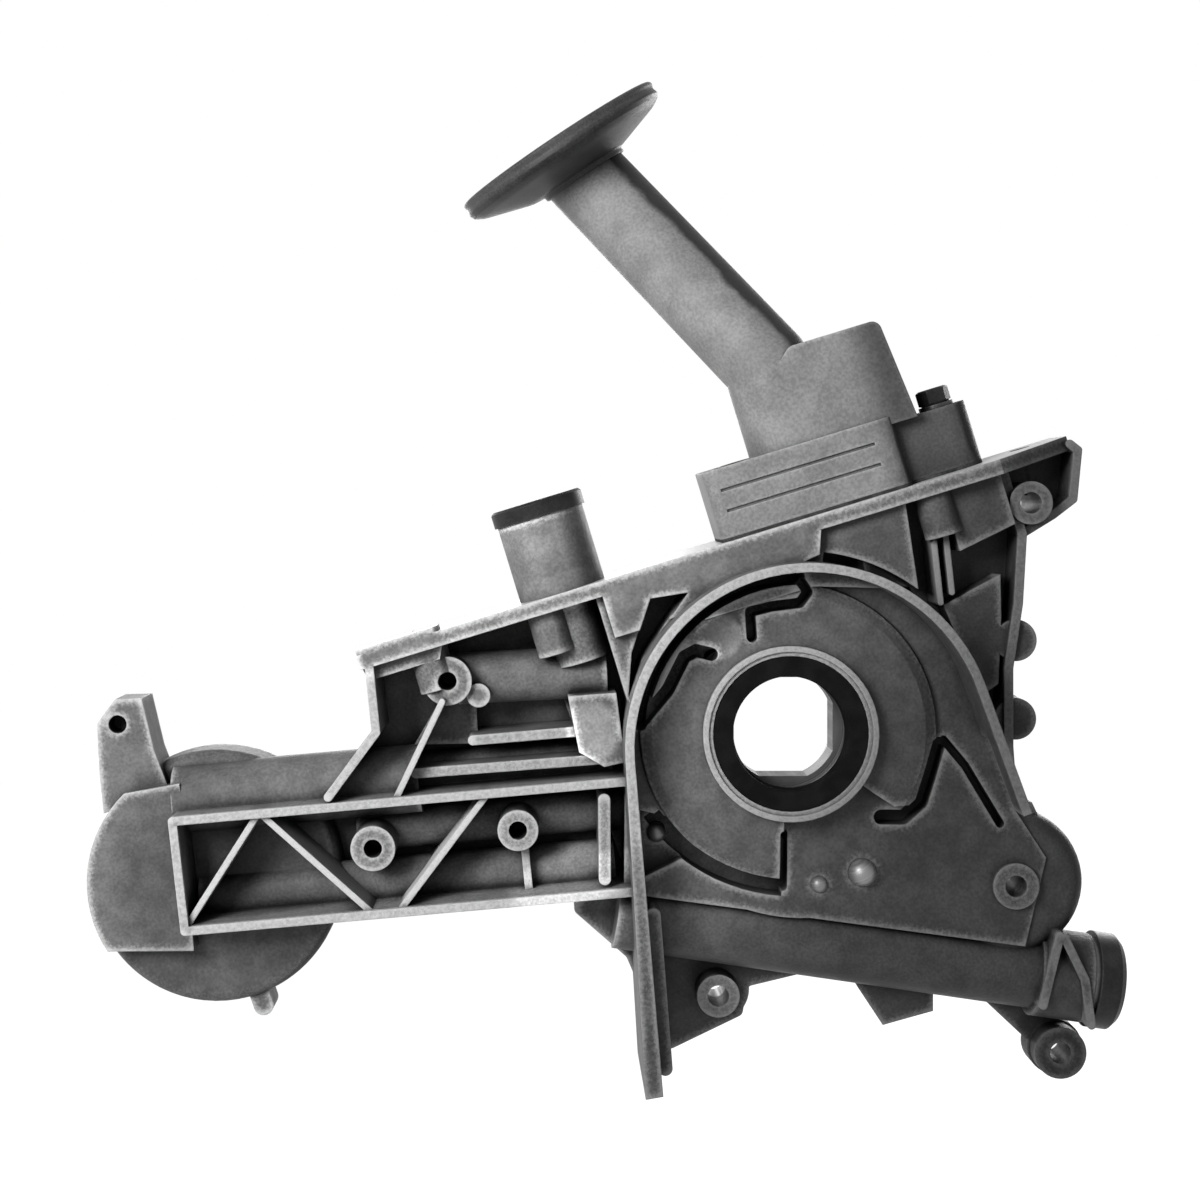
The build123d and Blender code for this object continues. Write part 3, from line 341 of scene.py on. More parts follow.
def milledMask(paint, plane):
    # one where the coordinate along an axis lies between two values and the face is square to
    # that axis, as a product of tests that are each nought or one
    place, facing = paint.node("ShaderNodeSeparateXYZ"), paint.node("ShaderNodeSeparateXYZ")
    paint.feed(paint.place, place.inputs[0])
    paint.feed(paint.facing, facing.inputs[0])
    along = place.outputs[plane["axis"]]
    above = paint.math("GREATER_THAN", along, plane["low"])
    below = paint.math("LESS_THAN", along, plane["high"])
    turned = paint.math("ABSOLUTE", facing.outputs[plane["axis"]])
    square = paint.math("GREATER_THAN", turned, castNoise["squareFrom"])
    return paint.math("MULTIPLY", paint.math("MULTIPLY", above, below), square)


def finishSurface(paint, height, look):
    # rounded-edge normal first, then the grain of the surface on top of it
    bump = paint.node("ShaderNodeBump")
    bump.inputs["Strength"].default_value = look["bump"]
    bump.inputs["Distance"].default_value = look["bumpDistance"]
    paint.feed(height, bump.inputs["Height"])
    soft = paint.node("ShaderNodeBevel", samples=4)
    soft.inputs["Radius"].default_value = look["softEdge"]
    paint.feed(soft.outputs["Normal"], bump.inputs["Normal"])
    paint.feed(bump.outputs["Normal"], paint.shader.inputs["Normal"])


def castFinish(name, look):
    # tone is a wide blotch noise between dark and light, times a fine speckle, then painted
    # highlight at edges, painted shade in cavities, along a direction and on faces turned from the
    # lamp, and spots of painted light and shade; milled faces are lighter and lined. Bump height
    # is fine * grainDepth + blotch * waveDepth
    paint = Paint(name)
    blotch = paint.noise(look["blotchScale"], castNoise["blotchDetail"])
    blotch = paint.remap(blotch, castNoise["blotchSpan"])
    fine = paint.noise(look["grainScale"], castNoise["fineDetail"])
    body = paint.mix(blotch, grey(look["darkTone"]), grey(look["lightTone"]))
    speckles = (1 - look["speckle"], 1 + look["speckle"])
    body = paint.scaled(body, paint.remap(fine, castNoise["fineSpan"], speckles))
    if look.get("edgeReach"):
        body = paintedEdgeHighlight(paint, body, fine, look)
    if look.get("cavityReach"):
        body = paintedCavityShade(paint, body, look)
    if look.get("rampShadeAlong"):
        body = rampShaded(paint, body, look)
    for spot in look.get("paintedSpots", ()):
        body = paintLightSpot(paint, body, spot)
    if look.get("sideShadeToward"):
        body = sideShaded(paint, body, blotch, look)
    swing = castNoise["roughSwing"]
    rough = (look["roughness"] - swing, look["roughness"] + swing)
    rough = paint.remap(fine, castNoise["roughSpan"], rough)
    height = paint.math("ADD", paint.math("MULTIPLY", fine, look["grainDepth"]),
                        paint.math("MULTIPLY", blotch, look["waveDepth"]))
    for plane in look.get("milled", ()):
        mask = milledMask(paint, plane)
        lines = paint.noise(1.0, castNoise["lineDetail"], plane["lines"])
        lines = paint.remap(lines, castNoise["fineSpan"], castNoise["lineTones"])
        body = paint.mix(mask, body, paint.scaled(grey(plane["tone"]), lines))
        rough = paint.between(mask, rough, castNoise["milledRoughness"])
        left = paint.remap(mask, (0.0, 1.0), (1.0, castNoise["milledGrain"]))
        height = paint.math("MULTIPLY", height, left)
    paint.feed(body, paint.shader.inputs["Base Color"])
    paint.feed(rough, paint.shader.inputs["Roughness"])
    paint.shader.inputs["Metallic"].default_value = look["metallic"]
    paint.shader.inputs["Specular IOR Level"].default_value = look["specular"]
    finishSurface(paint, height, look)
    return paint.material


turnedNoise = {
    "ringDetail": 4.0, "ringSpan": (0.3, 0.7), "ringTones": (0.86, 1.12),
    "smoother": 0.08, "rougher": 0.1,  # how far the rings move the roughness
    "stainScale": 70.0, "stainDetail": 4.0, "stainSpan": (0.35, 0.7),
    "cavityReach": 0.006, "cavitySpan": (0.2, 0.9),
}


def turnedFinish(name, look):
    # fine rings round an axis, which are noise of the distance from it
    paint = Paint(name)
    rings = paint.node("ShaderNodeTexNoise", noise_dimensions="1D")
    rings.inputs["Scale"].default_value = look["ringScale"]
    rings.inputs["Detail"].default_value = turnedNoise["ringDetail"]
    paint.feed(paint.distanceTo(look), rings.inputs["W"])
    ring = rings.outputs["Fac"]
    stain = paint.noise(turnedNoise["stainScale"], turnedNoise["stainDetail"])
    stain = paint.remap(stain, turnedNoise["stainSpan"])
    body = paint.mix(stain, grey(look["lightTone"]), grey(look["darkTone"]))
    ringTone = paint.remap(ring, turnedNoise["ringSpan"], turnedNoise["ringTones"])
    body = paint.scaled(body, ringTone)
    # painted shade in hollows: openness within cavityReach darkens the tone down to cavityDark
    depth = paint.openness(turnedNoise["cavityReach"])
    shade = paint.remap(depth, turnedNoise["cavitySpan"], (look["cavityDark"], 1.0))
    paint.feed(paint.scaled(body, shade), paint.shader.inputs["Base Color"])
    rough = look["roughness"]
    rough = (rough - turnedNoise["smoother"], rough + turnedNoise["rougher"])
    paint.feed(paint.remap(ring, turnedNoise["ringSpan"], rough), paint.shader.inputs["Roughness"])
    paint.shader.inputs["Metallic"].default_value = look["metallic"]
    finishSurface(paint, ring, look)
    return paint.material


castHousing = {
    "darkTone": 0.1, "lightTone": 0.145, "blotchScale": 130.0, "grainScale": 1100.0,
    "speckle": 0.16, "grainDepth": 0.5, "waveDepth": 0.6,
    # painted highlight on edges and thin walls, then painted shade in cavities
    "edgeReach": 0.0028, "edgeFrom": 0.12, "edgeTo": 0.55, "edgeShare": 0.9, "edgeTone": 0.56,
    "cavityReach": 0.0065, "cavityDark": 0.1,
    "roughness": 0.5, "metallic": 0.0, "specular": 0.12,
    "bump": 0.5, "bumpDistance": 0.0004, "softEdge": 0.0007,
    # painted shade, darker towards the lower right
    "rampShadeAlong": (0.75, 0.0, -0.66), "rampShadeFrom": -0.05, "rampShadeTo": 0.055,
    "rampShadeLight": 1.05, "rampShadeDark": 0.3,
    # painted shade on faces turned to the right
    "sideShadeToward": (0.95, 0.1, -0.3), "sideShadeFrom": 0.1, "sideShadeTo": 0.55, "sideShadeDark": 0.4,
    # spots of painted light where the gain is above one and of painted shade where it is below
    "paintedSpots": (
        {  # relief chimney
            "centre": (-0.053, -0.019, 0.0895), "across": (1.0, 1.0, 0.38),
            "reach": 0.0172, "gain": 1.85,
        },
        {  # square pad beside the belt-guard rim
            "centre": (-0.057, -0.030, 0.0175), "across": (1.0, 0.6, 0.9),
            "reach": 0.0095, "gain": 2.2,
        },
        {  # oil tube at the root of the arm
            "centre": (-0.075, -0.018, -0.024), "across": (0.5, 0.3, 1.4),
            "reach": 0.012, "gain": 1.7,
        },
        {  # finger above the seal boss
            "centre": (-0.012, -0.026, 0.034), "across": (1.0, 0.3, 1.0),
            "reach": 0.008, "gain": 2.3,
        },
        {  # disc of the filter head, behind the arm
            "centre": (-0.1822, -0.010, 0.0065), "across": (1.0, 2.5, 1.0),
            "reach": 0.048, "gain": 0.62,
        },
        {  # front edge of the blade below the rim
            "centre": (-0.063, -0.046, -0.065), "across": (1.0, 3.0, 0.35),
            "reach": 0.021, "gain": 0.66,
        },
        {  # lowest bolt lug
            "centre": (0.0528, -0.005, -0.1222), "across": (1.0, 0.4, 1.0),
            "reach": 0.0165, "gain": 0.5,
        },
        {  # front edge of the sump flange
            "centre": (-0.03, -0.034, 0.0583), "across": (0.1, 1.2, 1.6),
            "reach": 0.015, "gain": 1.35,
        },
    ),
    "milled": (
        # block face, filter seat and sump face
        {"axis": "Y", "low": -0.0002, "high": 0.0002, "tone": 0.5, "lines": (60, 60, 1700)},
        {"axis": "Y", "low": 0.0018, "high": 0.0044, "tone": 0.5, "lines": (60, 60, 1700)},
        {"axis": "Z", "low": 0.0603, "high": 0.0623, "tone": 0.5, "lines": (1700, 60, 60)},
    ),
}
castPipe = dict(
    castHousing, darkTone=0.205, lightTone=0.265, blotchScale=90.0, milled=(), paintedSpots=(),
    # painted highlight on edges, painted shade in cavities, at the right end of the pickup and on
    # faces turned to the right
    edgeReach=0.0016, edgeShare=0.7, edgeTone=0.5, cavityReach=0.012, cavityDark=0.3,
    rampShadeAlong=(1.0, 0.0, 0.0), rampShadeFrom=0.047, rampShadeTo=0.061, rampShadeLight=0.92,
    sideShadeToward=(0.92, 0.2, 0.3), sideShadeFrom=0.22, sideShadeTo=0.46, sideShadeDark=0.13)
softWasher = dict(castPipe, darkTone=0.24, lightTone=0.32, roughness=0.42, metallic=0.6,
                  sideShadeToward=None)
blackened = {
    "darkTone": 0.010, "lightTone": 0.022, "blotchScale": 120.0, "grainScale": 1400.0,
    "speckle": 0.2, "grainDepth": 0.4, "waveDepth": 0.2,
    # painted highlight on edges and thin walls
    "edgeReach": 0.0009, "edgeFrom": 0.25, "edgeTo": 0.7, "edgeShare": 0.45, "edgeTone": 0.11,
    "roughness": 0.42, "metallic": 0.0, "specular": 0.14,
    "bump": 0.25, "bumpDistance": 0.0004, "softEdge": 0.0004,
}
coatedSheet = dict(blackened, darkTone=0.016, lightTone=0.036, edgeTone=0.16, roughness=0.46,
                   blotchScale=70.0, edgeReach=0.0022, edgeFrom=0.55, edgeTo=0.95)
screwSteel = dict(blackened, darkTone=0.05, lightTone=0.08, metallic=0.7)
sealRubber = {
    "darkTone": 0.004, "lightTone": 0.008, "blotchScale": 160.0, "grainScale": 2200.0,
    "speckle": 0.15, "grainDepth": 0.5, "waveDepth": 0.2,
    "roughness": 0.62, "metallic": 0.0, "specular": 0.04,
    "bump": 0.2, "bumpDistance": 0.0004, "softEdge": 0.0003,
}
gasketFibre = dict(sealRubber, darkTone=0.03, lightTone=0.06, grainScale=1200.0,
                   roughness=0.85, speckle=0.3)
crankTurned = {
    "centre": (0.0, 0.0, 0.0), "across": (1.0, 0.0, 1.0), "ringScale": 2600.0,
    "lightTone": 0.42, "darkTone": 0.33, "cavityDark": 0.4,
    "roughness": 0.44, "metallic": 0.85,
    "bump": 0.15, "bumpDistance": 0.0001, "softEdge": 0.0003,
}
sintered = dict(crankTurned, lightTone=0.22, darkTone=0.15, roughness=0.45, metallic=0.6,
                ringScale=1800.0)
# sintered steel darkened as painted shade for the rotors that sit inside the housing
shadedRotor = dict(sintered, lightTone=0.11, darkTone=0.07, metallic=0.25)
valveTurned = dict(crankTurned, centre=(-0.053, -0.019, 0.0), across=(1.0, 1.0, 0.0),
                   lightTone=0.5, darkTone=0.42)
studTurned = dict(crankTurned, centre=(-0.1822, 0.0, 0.0065), lightTone=0.44, darkTone=0.34)
brightSteel = dict(crankTurned, lightTone=0.52, darkTone=0.42, roughness=0.3)
screenWire = dict(crankTurned, lightTone=0.30, darkTone=0.2, roughness=0.4, cavityDark=0.5)

finishes = {
    "castHousing": castFinish("castHousing", castHousing),
    "castPipe": castFinish("castPipe", castPipe),
    "softWasher": castFinish("softWasher", softWasher),
    "blackened": castFinish("blackened", blackened),
    "coatedSheet": castFinish("coatedSheet", coatedSheet),
    "screwSteel": castFinish("screwSteel", screwSteel),
    "sealRubber": castFinish("sealRubber", sealRubber),
    "gasketFibre": castFinish("gasketFibre", gasketFibre),
    "groundCover": turnedFinish("groundCover", crankTurned),
    "sintered": turnedFinish("sintered", sintered),
    "shadedRotor": turnedFinish("shadedRotor", shadedRotor),
    "valveSteel": turnedFinish("valveSteel", valveTurned),
    "studSteel": turnedFinish("studSteel", studTurned),
    "brightSteel": turnedFinish("brightSteel", brightSteel),
    "screenWire": turnedFinish("screenWire", screenWire),
}

nodeFinish = {
    "pump_housing": "castHousing",
    "rear_cover": "groundCover",
    "rear_cover_screws": "screwSteel",
    "inner_rotor": "shadedRotor",
    "outer_rotor": "shadedRotor",
    "crank_seal": "sealRubber",
    "crank_seal_spring": "brightSteel",
    "relief_piston": "valveSteel",
    "relief_spring": "valveSteel",
    "relief_cap": "blackened",
    "relief_cap_oring": "sealRubber",
    "gallery_plug_washer": "softWasher",
    "gallery_plug": "blackened",
    "passage_plugs": "sintered",
    "dowel_sleeves": "sintered",
    "delivery_oring": "sealRubber",
    "filter_stud": "studSteel",
    "pickup_tube": "castPipe",
    "pickup_gasket": "gasketFibre",
    "pickup_bolts": "blackened",
    "pickup_bolt_washers": "screwSteel",
    "strainer_bell": "coatedSheet",
    "strainer_screen": "screenWire",
    "strainer_ring": "coatedSheet",
}
for nodeName, finishName in nodeFinish.items():
    node = nodes[nodeName]
    if not node.material_slots:
        node.data.materials.append(None)
    for materialSlot in node.material_slots:
        materialSlot.material = finishes[finishName]
print("finishes on the nodes")


def meshPiece(name, points, quads, rims, finish):
    # smooth mesh of quads, with one flat face over each ring of points listed in rims
    rims = [np.asarray(rim) for rim in rims]
    corners = np.concatenate([quads.ravel()] + rims)
    counts = np.concatenate((np.full(len(quads), 4), [len(rim) for rim in rims]))
    counts = counts.astype(np.int32)
    mesh = bpy.data.meshes.new(name)
    mesh.vertices.add(len(points))
    mesh.vertices.foreach_set("co", np.ascontiguousarray(points, np.float32).ravel())
    mesh.loops.add(len(corners))
    mesh.loops.foreach_set("vertex_index", corners.astype(np.int32))
    mesh.polygons.add(len(counts))
    mesh.polygons.foreach_set("loop_start", (np.cumsum(counts) - counts).astype(np.int32))
    mesh.polygons.foreach_set("use_smooth", np.ones(len(counts), bool))
    mesh.update(calc_edges=True)
    mesh.validate()
    piece = bpy.data.objects.new(name, mesh)
    bpy.context.collection.objects.link(piece)
    mesh.materials.append(finishes[finish])
    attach(piece, "pump_body")
    return piece


def gridFaces(rows, columns, closedU, closedV, start=0):
    # quads of a grid of points[u, v]; a closed direction joins its last row to its first
    index = start + np.arange(rows * columns).reshape(rows, columns)
    u, v = np.meshgrid(np.arange(rows if closedU else rows - 1),
                       np.arange(columns if closedV else columns - 1), indexing="ij")
    nextU = (u + 1) % rows
    nextV = (v + 1) % columns
    quads = np.stack((index[u, v], index[nextU, v], index[nextU, nextV], index[u, nextV]), -1)
    return quads.reshape(-1, 4)


def unit(vector):
    # vector / its length
    return np.array(vector, float) / np.linalg.norm(vector)


def axesOf(xAxis, zAxis):
    # rows are the unit vectors x, z cross x and z
    xAxis, zAxis = unit(xAxis), unit(zAxis)
    return np.stack((xAxis, np.cross(zAxis, xAxis), zAxis))


def placed(local, origin, xAxis, zAxis):
    # origin + x * xAxis + y * (zAxis x xAxis) + z * zAxis, in metres from millimetres
    return (np.array(origin, float) + local.reshape(-1, 3) @ axesOf(xAxis, zAxis)) / 1000.0


def circle(count):
    # angles 2 pi k / count, as a column
    return np.linspace(0, 2 * math.pi, count, endpoint=False)[:, None]


def revolved(angle, radius, height):
    # (radius cos angle, radius sin angle, height) on a grid of angles and profile points
    radius, height = radius + 0 * angle, height + 0 * angle
    return np.stack((radius * np.cos(angle), radius * np.sin(angle), height), -1)


threadForm = {"crest": 0.14, "flank": 0.68, "fade": 0.5}  # shares of half a pitch, and of a pitch


def threadDepth(angle, height, thread):
    # depth * groove(height / pitch - angle / 2 pi), where groove(t) climbs from 0 at the crest to
    # 1 at the root along straight flanks, faded in over one pitch at each end
    turn = height / thread["pitch"] - angle / (2 * math.pi)
    across = np.abs(2 * (turn - np.floor(turn)) - 1)
    groove = np.clip((across - threadForm["crest"]) / threadForm["flank"], 0, 1)
    fromEnd = np.minimum(height - thread["low"], thread["high"] - height) / thread["pitch"]
    return thread["depth"] * groove * np.clip(fromEnd + threadForm["fade"], 0, 1)


cornerSoft = 0.12  # how far from a corner the points of a path keep


def steps(corners, size):
    # points along a path of straight pieces, about size apart, that leave its corners out
    path = []
    for first, second in zip(corners[:-1], corners[1:]):
        first, second = np.array(first, float), np.array(second, float)
        length = np.linalg.norm(second - first)
        soft = min(cornerSoft, length / 3) / length
        inner = np.linspace(soft, 1 - soft, max(2, int(length / size)))
        path.append(first + (second - first) * inner[:, None])
    return np.concatenate(path)


stud = {
    "origin": (-182.2, 0.0, 6.5),
    "radius": 9.45, "bore": 5.5, "low": -11.0, "high": 18.0,
    "tip": 1.2, "boreTip": 0.5,  # chamfers at the outer end
    "collarRadius": 12.0, "collar": (1.0, 3.6),
    "thread": {"pitch": 1.5, "depth": 0.92, "low": 4.6, "high": 18.6},
    "around": 144, "tipStep": 0.4, "threadStep": 0.11, "plainStep": 1.2, "slack": 0.01,
}


def makeStud(look):
    # revolved tube with a collar; its outside is radius - threadDepth above the collar
    radius, bore, high, slack = look["radius"], look["bore"], look["high"], look["slack"]
    collarLow, collarHigh = look["collar"]
    mouth, shoulder = (bore + look["boreTip"], high), (radius, high - look["tip"])
    end = steps([mouth, (radius - look["tip"], high), shoulder], look["tipStep"])
    threaded = steps([shoulder, (radius, collarHigh)], look["threadStep"])
    rest = steps([(radius, collarHigh), (look["collarRadius"], collarHigh),
                  (look["collarRadius"], collarLow), (radius, collarLow),
                  (radius, look["low"]), (bore, look["low"]),
                  (bore, high - look["boreTip"]), mouth], look["plainStep"])
    profile = np.concatenate((end, threaded, rest))
    angle = circle(look["around"])
    out, height = profile[:, 0][None, :], profile[:, 1][None, :]
    onThread = (out > shoulder[0] - look["tip"] - slack) & (out < radius + slack)
    onThread &= height > collarHigh
    cut = np.where(onThread, threadDepth(angle, height, look["thread"]), 0.0)
    root = radius - look["thread"]["depth"]
    out = np.maximum(out - cut, np.minimum(out, root))
    points = revolved(angle, out, height)
    piece = meshPiece("filterStud", placed(points, look["origin"], (1, 0, 0), (0, 1, 0)),
                      gridFaces(*points.shape[:2], True, True), [], "studSteel")
    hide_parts("filter_stud")
    return piece


bolts = {
    "seats": ((8.6, 77.7), (74.0, 81.7)),  # x of each bolt and height of the face under its head
    "y": -17.0,
    "corner": 5.2, "headHigh": 5.0, "coneInset": 0.35, "coneDegrees": 30.0,
    "dish": (2.5, 2.9), "dishDeep": 0.35,  # shallow dish in the top of the head: floor and rim
    "middle": 0.3,  # radius of the small flat that closes each end on the axis
    "washerInset": 0.1, "washerHigh": 0.35, "sideLow": 0.4,
    "sideShares": (1.0, 0.12, 0.02),  # heights on a side: first, last but one and last row
    "sideRows": 8,
    "sideDegrees": (-29.5, -28.0, -20.0, -10.0, 0.0, 10.0, 20.0, 28.0, 29.5),
    "shank": 2.98, "neck": 0.15, "neckHigh": 0.3, "tip": 46.0, "point": 0.6,
    "thread": {"pitch": 1.0, "depth": 0.5}, "threadLong": 22.0,
    "topStep": 0.5, "underStep": 0.8, "threadStep": 0.1, "pointStep": 0.4,
}


def boltSurface(look, seat):
    # hexagon of radius flat / cos(angle from the middle of its side), cut by a cone at the top,
    # over a washer face and a shank whose end is threaded
    side = np.radians(look["sideDegrees"])
    angle = (np.radians(30 + 60 * np.arange(6))[:, None] + side).ravel()[:, None]
    flat = look["corner"] * math.cos(math.pi / 6)
    hexagon = flat / np.cos(np.tile(side, 6))[:, None]
    high, radius, middle = look["headHigh"], look["shank"], look["middle"]
    tip = look["tip"] - seat
    threadTop = tip + look["threadLong"]
    dishLow, dishHigh = look["dish"]
    under = flat - look["washerInset"]
    top = steps([(middle, high - look["dishDeep"]), (dishLow, high - look["dishDeep"]),
                 (dishHigh, high), (flat - look["coneInset"], high)], look["topStep"])
    neck = steps([(under, look["washerHigh"]), (under, 0.0), (radius + look["neck"], 0.0),
                  (radius, -look["neckHigh"]), (radius, threadTop)], look["underStep"])
    shank = steps([(radius, threadTop), (radius, tip + look["point"])], look["threadStep"])
    point = steps([(radius, tip + look["point"]), (radius - look["point"], tip),
                   (middle, tip)], look["pointStep"])
    first, lastBut, last = look["sideShares"]
    shares = np.concatenate((np.linspace(first, lastBut, look["sideRows"]), [last]))[None, :]
    shoulder = hexagon - (flat - look["coneInset"])
    shoulder = high - shoulder * math.tan(math.radians(look["coneDegrees"]))
    sideHeight = look["sideLow"] + (shoulder - look["sideLow"]) * shares
    thread = dict(look["thread"], low=tip, high=threadTop)
    cut = threadDepth(angle, shank[:, 1][None, :], thread)
    ones = np.ones_like(angle)
    radii = (top[:, 0] * ones, hexagon * np.ones_like(shares), neck[:, 0] * ones,
             shank[:, 0] * ones - cut, point[:, 0] * ones)
    heights = (top[:, 1] * ones, sideHeight, neck[:, 1] * ones, shank[:, 1] * ones,
               point[:, 1] * ones)
    return revolved(angle, np.concatenate(radii, 1), np.concatenate(heights, 1))


def makeBolts(look):
    # both bolts as one mesh, each standing on its seat
    points, quads, rims, start = [], [], [], 0
    for x, seat in look["seats"]:
        local = boltSurface(look, seat)
        rows, columns = local.shape[:2]
        points.append(placed(local, (x, look["y"], seat), (1, 0, 0), (0, 0, 1)))
        quads.append(gridFaces(rows, columns, True, False, start)[:, ::-1])
        ring = start + np.arange(rows) * columns
        rims += [ring, (ring + columns - 1)[::-1]]
        start += rows * columns
    piece = meshPiece("pickupBolts", np.concatenate(points), np.concatenate(quads), rims,
                      "blackened")
    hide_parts("pickup_bolts")
    return piece


bell = {
    "origin": (-11.5, 9.0, 192.5), "leanDegrees": 16.4, "nod": 0.085,
    "elbow": (27.6, -17.0, 108.5), "pipeToward": (-0.389, 0.312, 0.866), "pipeRadius": 13.45,
    "radius": 36.0, "skirt": 5.0, "inner": 34.57,
    # cone outside and inside: distance from the axis and height there
    "outsideRadii": (17.0, 33.0, 36.0), "outsideHeights": (-7.0, -2.0, 0.0),
    "insideRadii": (16.6, 32.4, 34.6), "insideHeights": (-5.6, -0.7, 0.9),
    "bendShifts": (-1.2, -0.6, 0.0, 0.6, 1.2),
    # collar: height above the flat of the cone and distance from the pipe's wall
    "collar": ((-1.6, 0.0), (-1.7, 0.12), (-1.7, 0.85), (-1.45, 1.1), (-0.5, 1.1)),
    "collarToCone": 1.45, "coneToSkirt": 0.7, "coneToWall": 0.3,
    "coneShares": (0.01, 1.0, 44),
    "beadIn": 0.5, "waistIn": 0.45, "rollIn": 0.6,  # how far each is drawn in
    "beadFoot": 0.1, "beadHigh": 0.8,
    "skirtRows": 8,
    "wallChamfer": 0.3, "wallHeights": (0.25, 1.2),  # the heights are below the skirt's end
    "wallFoot": 1.1,
    "around": 192,
}


def bellAxes(look):
    # x and z of the bell: turned by the lean about Y, with z tipped forward by the nod
    lean = math.radians(look["leanDegrees"])
    xAxis = (math.cos(lean), 0, math.sin(lean))
    return xAxis, (-math.sin(lean), -look["nod"], math.cos(lean))


def pipeEdge(look, angle, height):
    # distance r from the bell's axis at which a ray at this angle and height leaves the pipe,
    # which is the positive root of |across(base + r * ray)|^2 = pipeRadius^2, across being the
    # part of a vector square to the pipe
    axes = axesOf(*bellAxes(look))
    pipe = axes @ unit(look["pipeToward"])
    start = axes @ (np.array(look["elbow"]) - np.array(look["origin"]))
    ray = np.stack((np.cos(angle), np.sin(angle), 0 * angle), -1)
    base = np.stack((0 * height, 0 * height, height), -1) - start
    rayAcross = ray - (ray @ pipe)[..., None] * pipe
    baseAcross = base - (base @ pipe)[..., None] * pipe
    a = (rayAcross ** 2).sum(-1)
    b = 2 * (rayAcross * baseAcross).sum(-1)
    c = (baseAcross ** 2).sum(-1) - look["pipeRadius"] ** 2
    return (-b + np.sqrt(b * b - 4 * a * c)) / (2 * a)


def coneHeight(look, radius, radii, heights):
    # straight lines between the given points, averaged over five places so that the bends are soft
    near = [np.interp(radius + shift, radii, heights) for shift in look["bendShifts"]]
    return sum(near) / len(near)


def skirtProfile(look):
    # radius and height along a lower bead, a waist drawn in by sin^2, an upper bead that rolls
    # over, and the plain wall inside
    share = np.linspace(0, 1, look["skirtRows"] + 1)[1:]
    quarter = share * math.pi / 2
    outer, inner, rise, bead = look["radius"], look["inner"], look["skirt"], look["beadHigh"]
    foot = look["beadFoot"]
    wallTop, wallNext = look["wallHeights"]
    wallRadii = [inner + look["wallChamfer"]] + 4 * [inner]
    wall = [rise, rise - wallTop, rise - wallNext, 0.5 * rise, look["wallFoot"]]
    radius = np.concatenate((outer - look["beadIn"] * (1 - np.sin(quarter)),
                             outer - look["waistIn"] * np.sin(math.pi * share) ** 2,
                             outer - look["rollIn"] * (1 - np.cos(quarter)), wallRadii))
    height = np.concatenate((foot + bead * share,
                             foot + bead + (rise - 2 * bead - foot) * share,
                             rise - bead + bead * share, wall))
    return radius, height


def makeBell(look):
    # cone whose height is a function of the distance from the axis, with a collar round the pipe
    # and a skirt drawn in a little between two beads
    angle = circle(look["around"])
    ones = np.ones_like(angle)
    flatOut, flatIn = look["outsideHeights"][0] * ones, look["insideHeights"][0] * ones
    parts = [(pipeEdge(look, angle, flatOut + rise) + out, flatOut + rise)
             for rise, out in look["collar"]]
    share = np.linspace(*look["coneShares"])[None, :]
    start = pipeEdge(look, angle, flatOut) + look["collarToCone"]
    radius = start + (look["radius"] - look["coneToSkirt"] - start) * share
    parts.append((radius, coneHeight(look, radius, look["outsideRadii"], look["outsideHeights"])))
    skirtRadius, skirtHeight = skirtProfile(look)
    parts.append((skirtRadius * ones, skirtHeight * ones))
    end = pipeEdge(look, angle, flatIn)
    radius = end + (look["inner"] - look["coneToWall"] - end) * (1 - share)
    parts.append((radius, coneHeight(look, radius, look["insideRadii"], look["insideHeights"])))
    parts.append((end, flatIn))
    local = revolved(angle, *(np.concatenate(columns, 1) for columns in zip(*parts)))
    piece = meshPiece("strainerBell", placed(local, look["origin"], *bellAxes(look)),
                      gridFaces(*local.shape[:2], True, True), [], "coatedSheet")
    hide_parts("strainer_bell")
    return piece


weave = {
    "radius": 34.5, "endGap": 0.1, "wire": 0.22, "wave": 0.23, "pitch": 2.0, "height": 3.5,
    "perPitch": 4, "sides": 6,
}


def makeWeave(look):
    # wire k lies at k * pitch and rises as wave * (-1)^k * cos(pi * along / pitch); the wires
    # across fall where these rise, so that the two families pass over and under each other
    count, sides = int(look["radius"] / look["pitch"]), look["sides"]
    turn = np.arange(sides) * 2 * math.pi / sides
    points, quads, rims, start = [], [], [], 0
    for family in (0, 1):
        for place in range(-count, count + 1):
            offset = place * look["pitch"]
            reach = math.sqrt(look["radius"] ** 2 - offset ** 2) - look["endGap"]
            samples = max(4, int(2 * reach / look["pitch"] * look["perPitch"]))
            along = np.linspace(-reach, reach, samples)[:, None]
            sign = (1 if family == 0 else -1) * (-1) ** place
            rise = sign * look["wave"] * np.cos(math.pi * along / look["pitch"])
            side = offset + look["wire"] * np.cos(turn) + 0 * along
            up = look["height"] + rise + look["wire"] * np.sin(turn)
            run = along + 0 * side
            wire = np.stack((run, side, up) if family == 0 else (side, run, up), -1)
            points.append(wire.reshape(-1, 3))
            faces = gridFaces(samples, sides, False, True, start)
            ring = start + np.arange(sides)
            last = ring + (samples - 1) * sides
            quads.append(faces if family else faces[:, ::-1])
            rims += [ring, last[::-1]] if family else [ring[::-1], last]
            start += samples * sides
    points = placed(np.concatenate(points), bell["origin"], *bellAxes(bell))
    piece = meshPiece("strainerWeave", points, np.concatenate(quads), rims, "screenWire")
    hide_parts("strainer_screen")
    return piece


spring = {
    "axis": (-53.0, -19.0), "low": 59.02, "high": 81.38, "coil": 4.3, "wire": 0.9, "turns": 5.5,
    "travel": 8.0, "closing": 0.3, "perTurn": 36, "around": 14,
    "endSize": 0.55, "endGrowth": 60.0,  # wire's size at its ends, and how fast it fills out
}


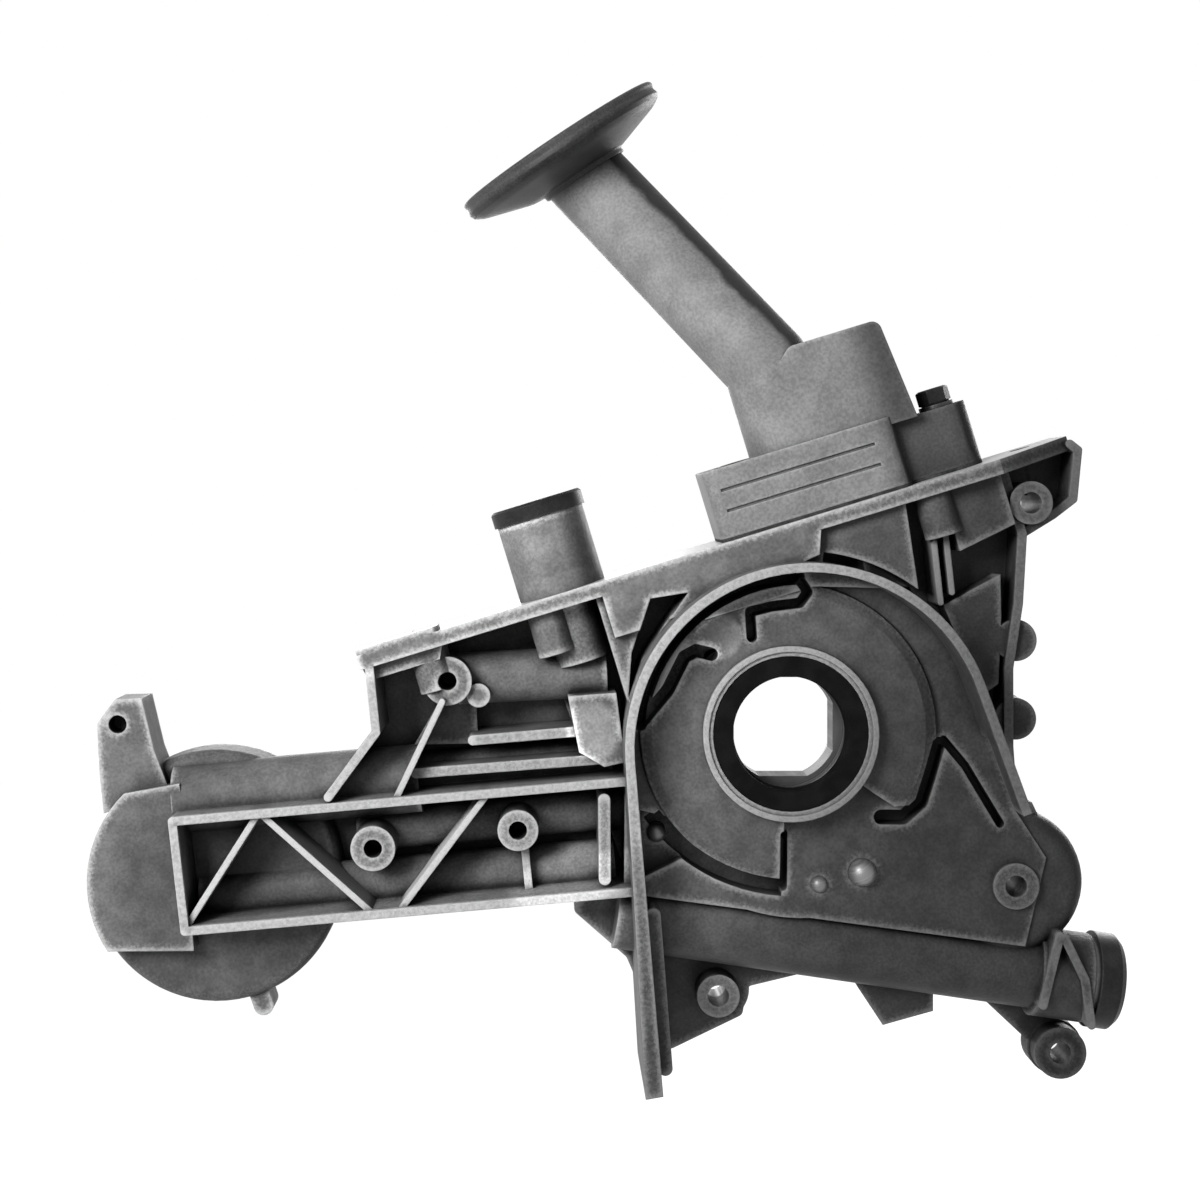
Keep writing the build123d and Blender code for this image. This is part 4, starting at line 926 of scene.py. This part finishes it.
def makeSpring(look):
    # wire round a helix whose height is t - closing * sin(2 pi t) / (2 pi) of the whole, so that
    # the coils lie closer at both ends; the section is carried on the helix's own normal and
    # binormal
    t = np.linspace(0, 1, int(look["turns"] * look["perTurn"]) + 1)
    span = look["high"] - look["low"] - 2 * look["wire"]
    turn = 2 * math.pi * look["turns"] * t
    share = t - look["closing"] * np.sin(2 * math.pi * t) / (2 * math.pi)
    out = np.stack((np.cos(turn), np.sin(turn), 0 * turn), -1)
    line = look["coil"] * out
    line[:, 2] = look["wire"] + span * share
    along = np.gradient(line, axis=0)
    along /= np.linalg.norm(along, axis=1)[:, None]
    up = np.cross(along, out)
    ring = circle(look["around"])[None]
    section = np.cos(ring) * out[:, None] + np.sin(ring) * up[:, None]
    size = np.clip(np.minimum(t, 1 - t) * look["endGrowth"] + look["endSize"], 0, 1)
    points = line[:, None] + look["wire"] * size[:, None, None] * section
    first = np.arange(look["around"])
    rims = [first[::-1], first + (len(t) - 1) * look["around"]]
    origin = (look["axis"][0], look["axis"][1], look["low"])
    piece = meshPiece("reliefSpring", placed(points, origin, (1, 0, 0), (0, 0, 1)),
                      gridFaces(*points.shape[:2], False, True), rims, "valveSteel")
    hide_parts("relief_spring")
    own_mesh(piece)
    return piece


def signedVolume(piece):
    # sum over triangles of a . (b x c) / 6, which is above nought when faces look outward
    piece.data.calc_loop_triangles()
    corners = np.empty(len(piece.data.vertices) * 3)
    piece.data.vertices.foreach_get("co", corners)
    picks = np.empty(len(piece.data.loop_triangles) * 3, np.int32)
    piece.data.loop_triangles.foreach_get("vertices", picks)
    a, b, c = corners.reshape(-1, 3)[picks.reshape(-1, 3).T]
    return float((a * np.cross(b, c)).sum() / 6)


makers = (
    (makeStud, stud),
    (makeBolts, bolts),
    (makeBell, bell),
    (makeWeave, weave),
    (makeSpring, spring),
)
for makePiece, pieceLook in makers:
    made = makePiece(pieceLook)
    volume = signedVolume(made)
    if volume < 0:
        made.data.flip_normals()
    cubicMm = round(volume * 1e9, 1)
    print(made.name, "has", len(made.data.polygons), "faces and", cubicMm, "cubic millimetres")


print("pieces ready")
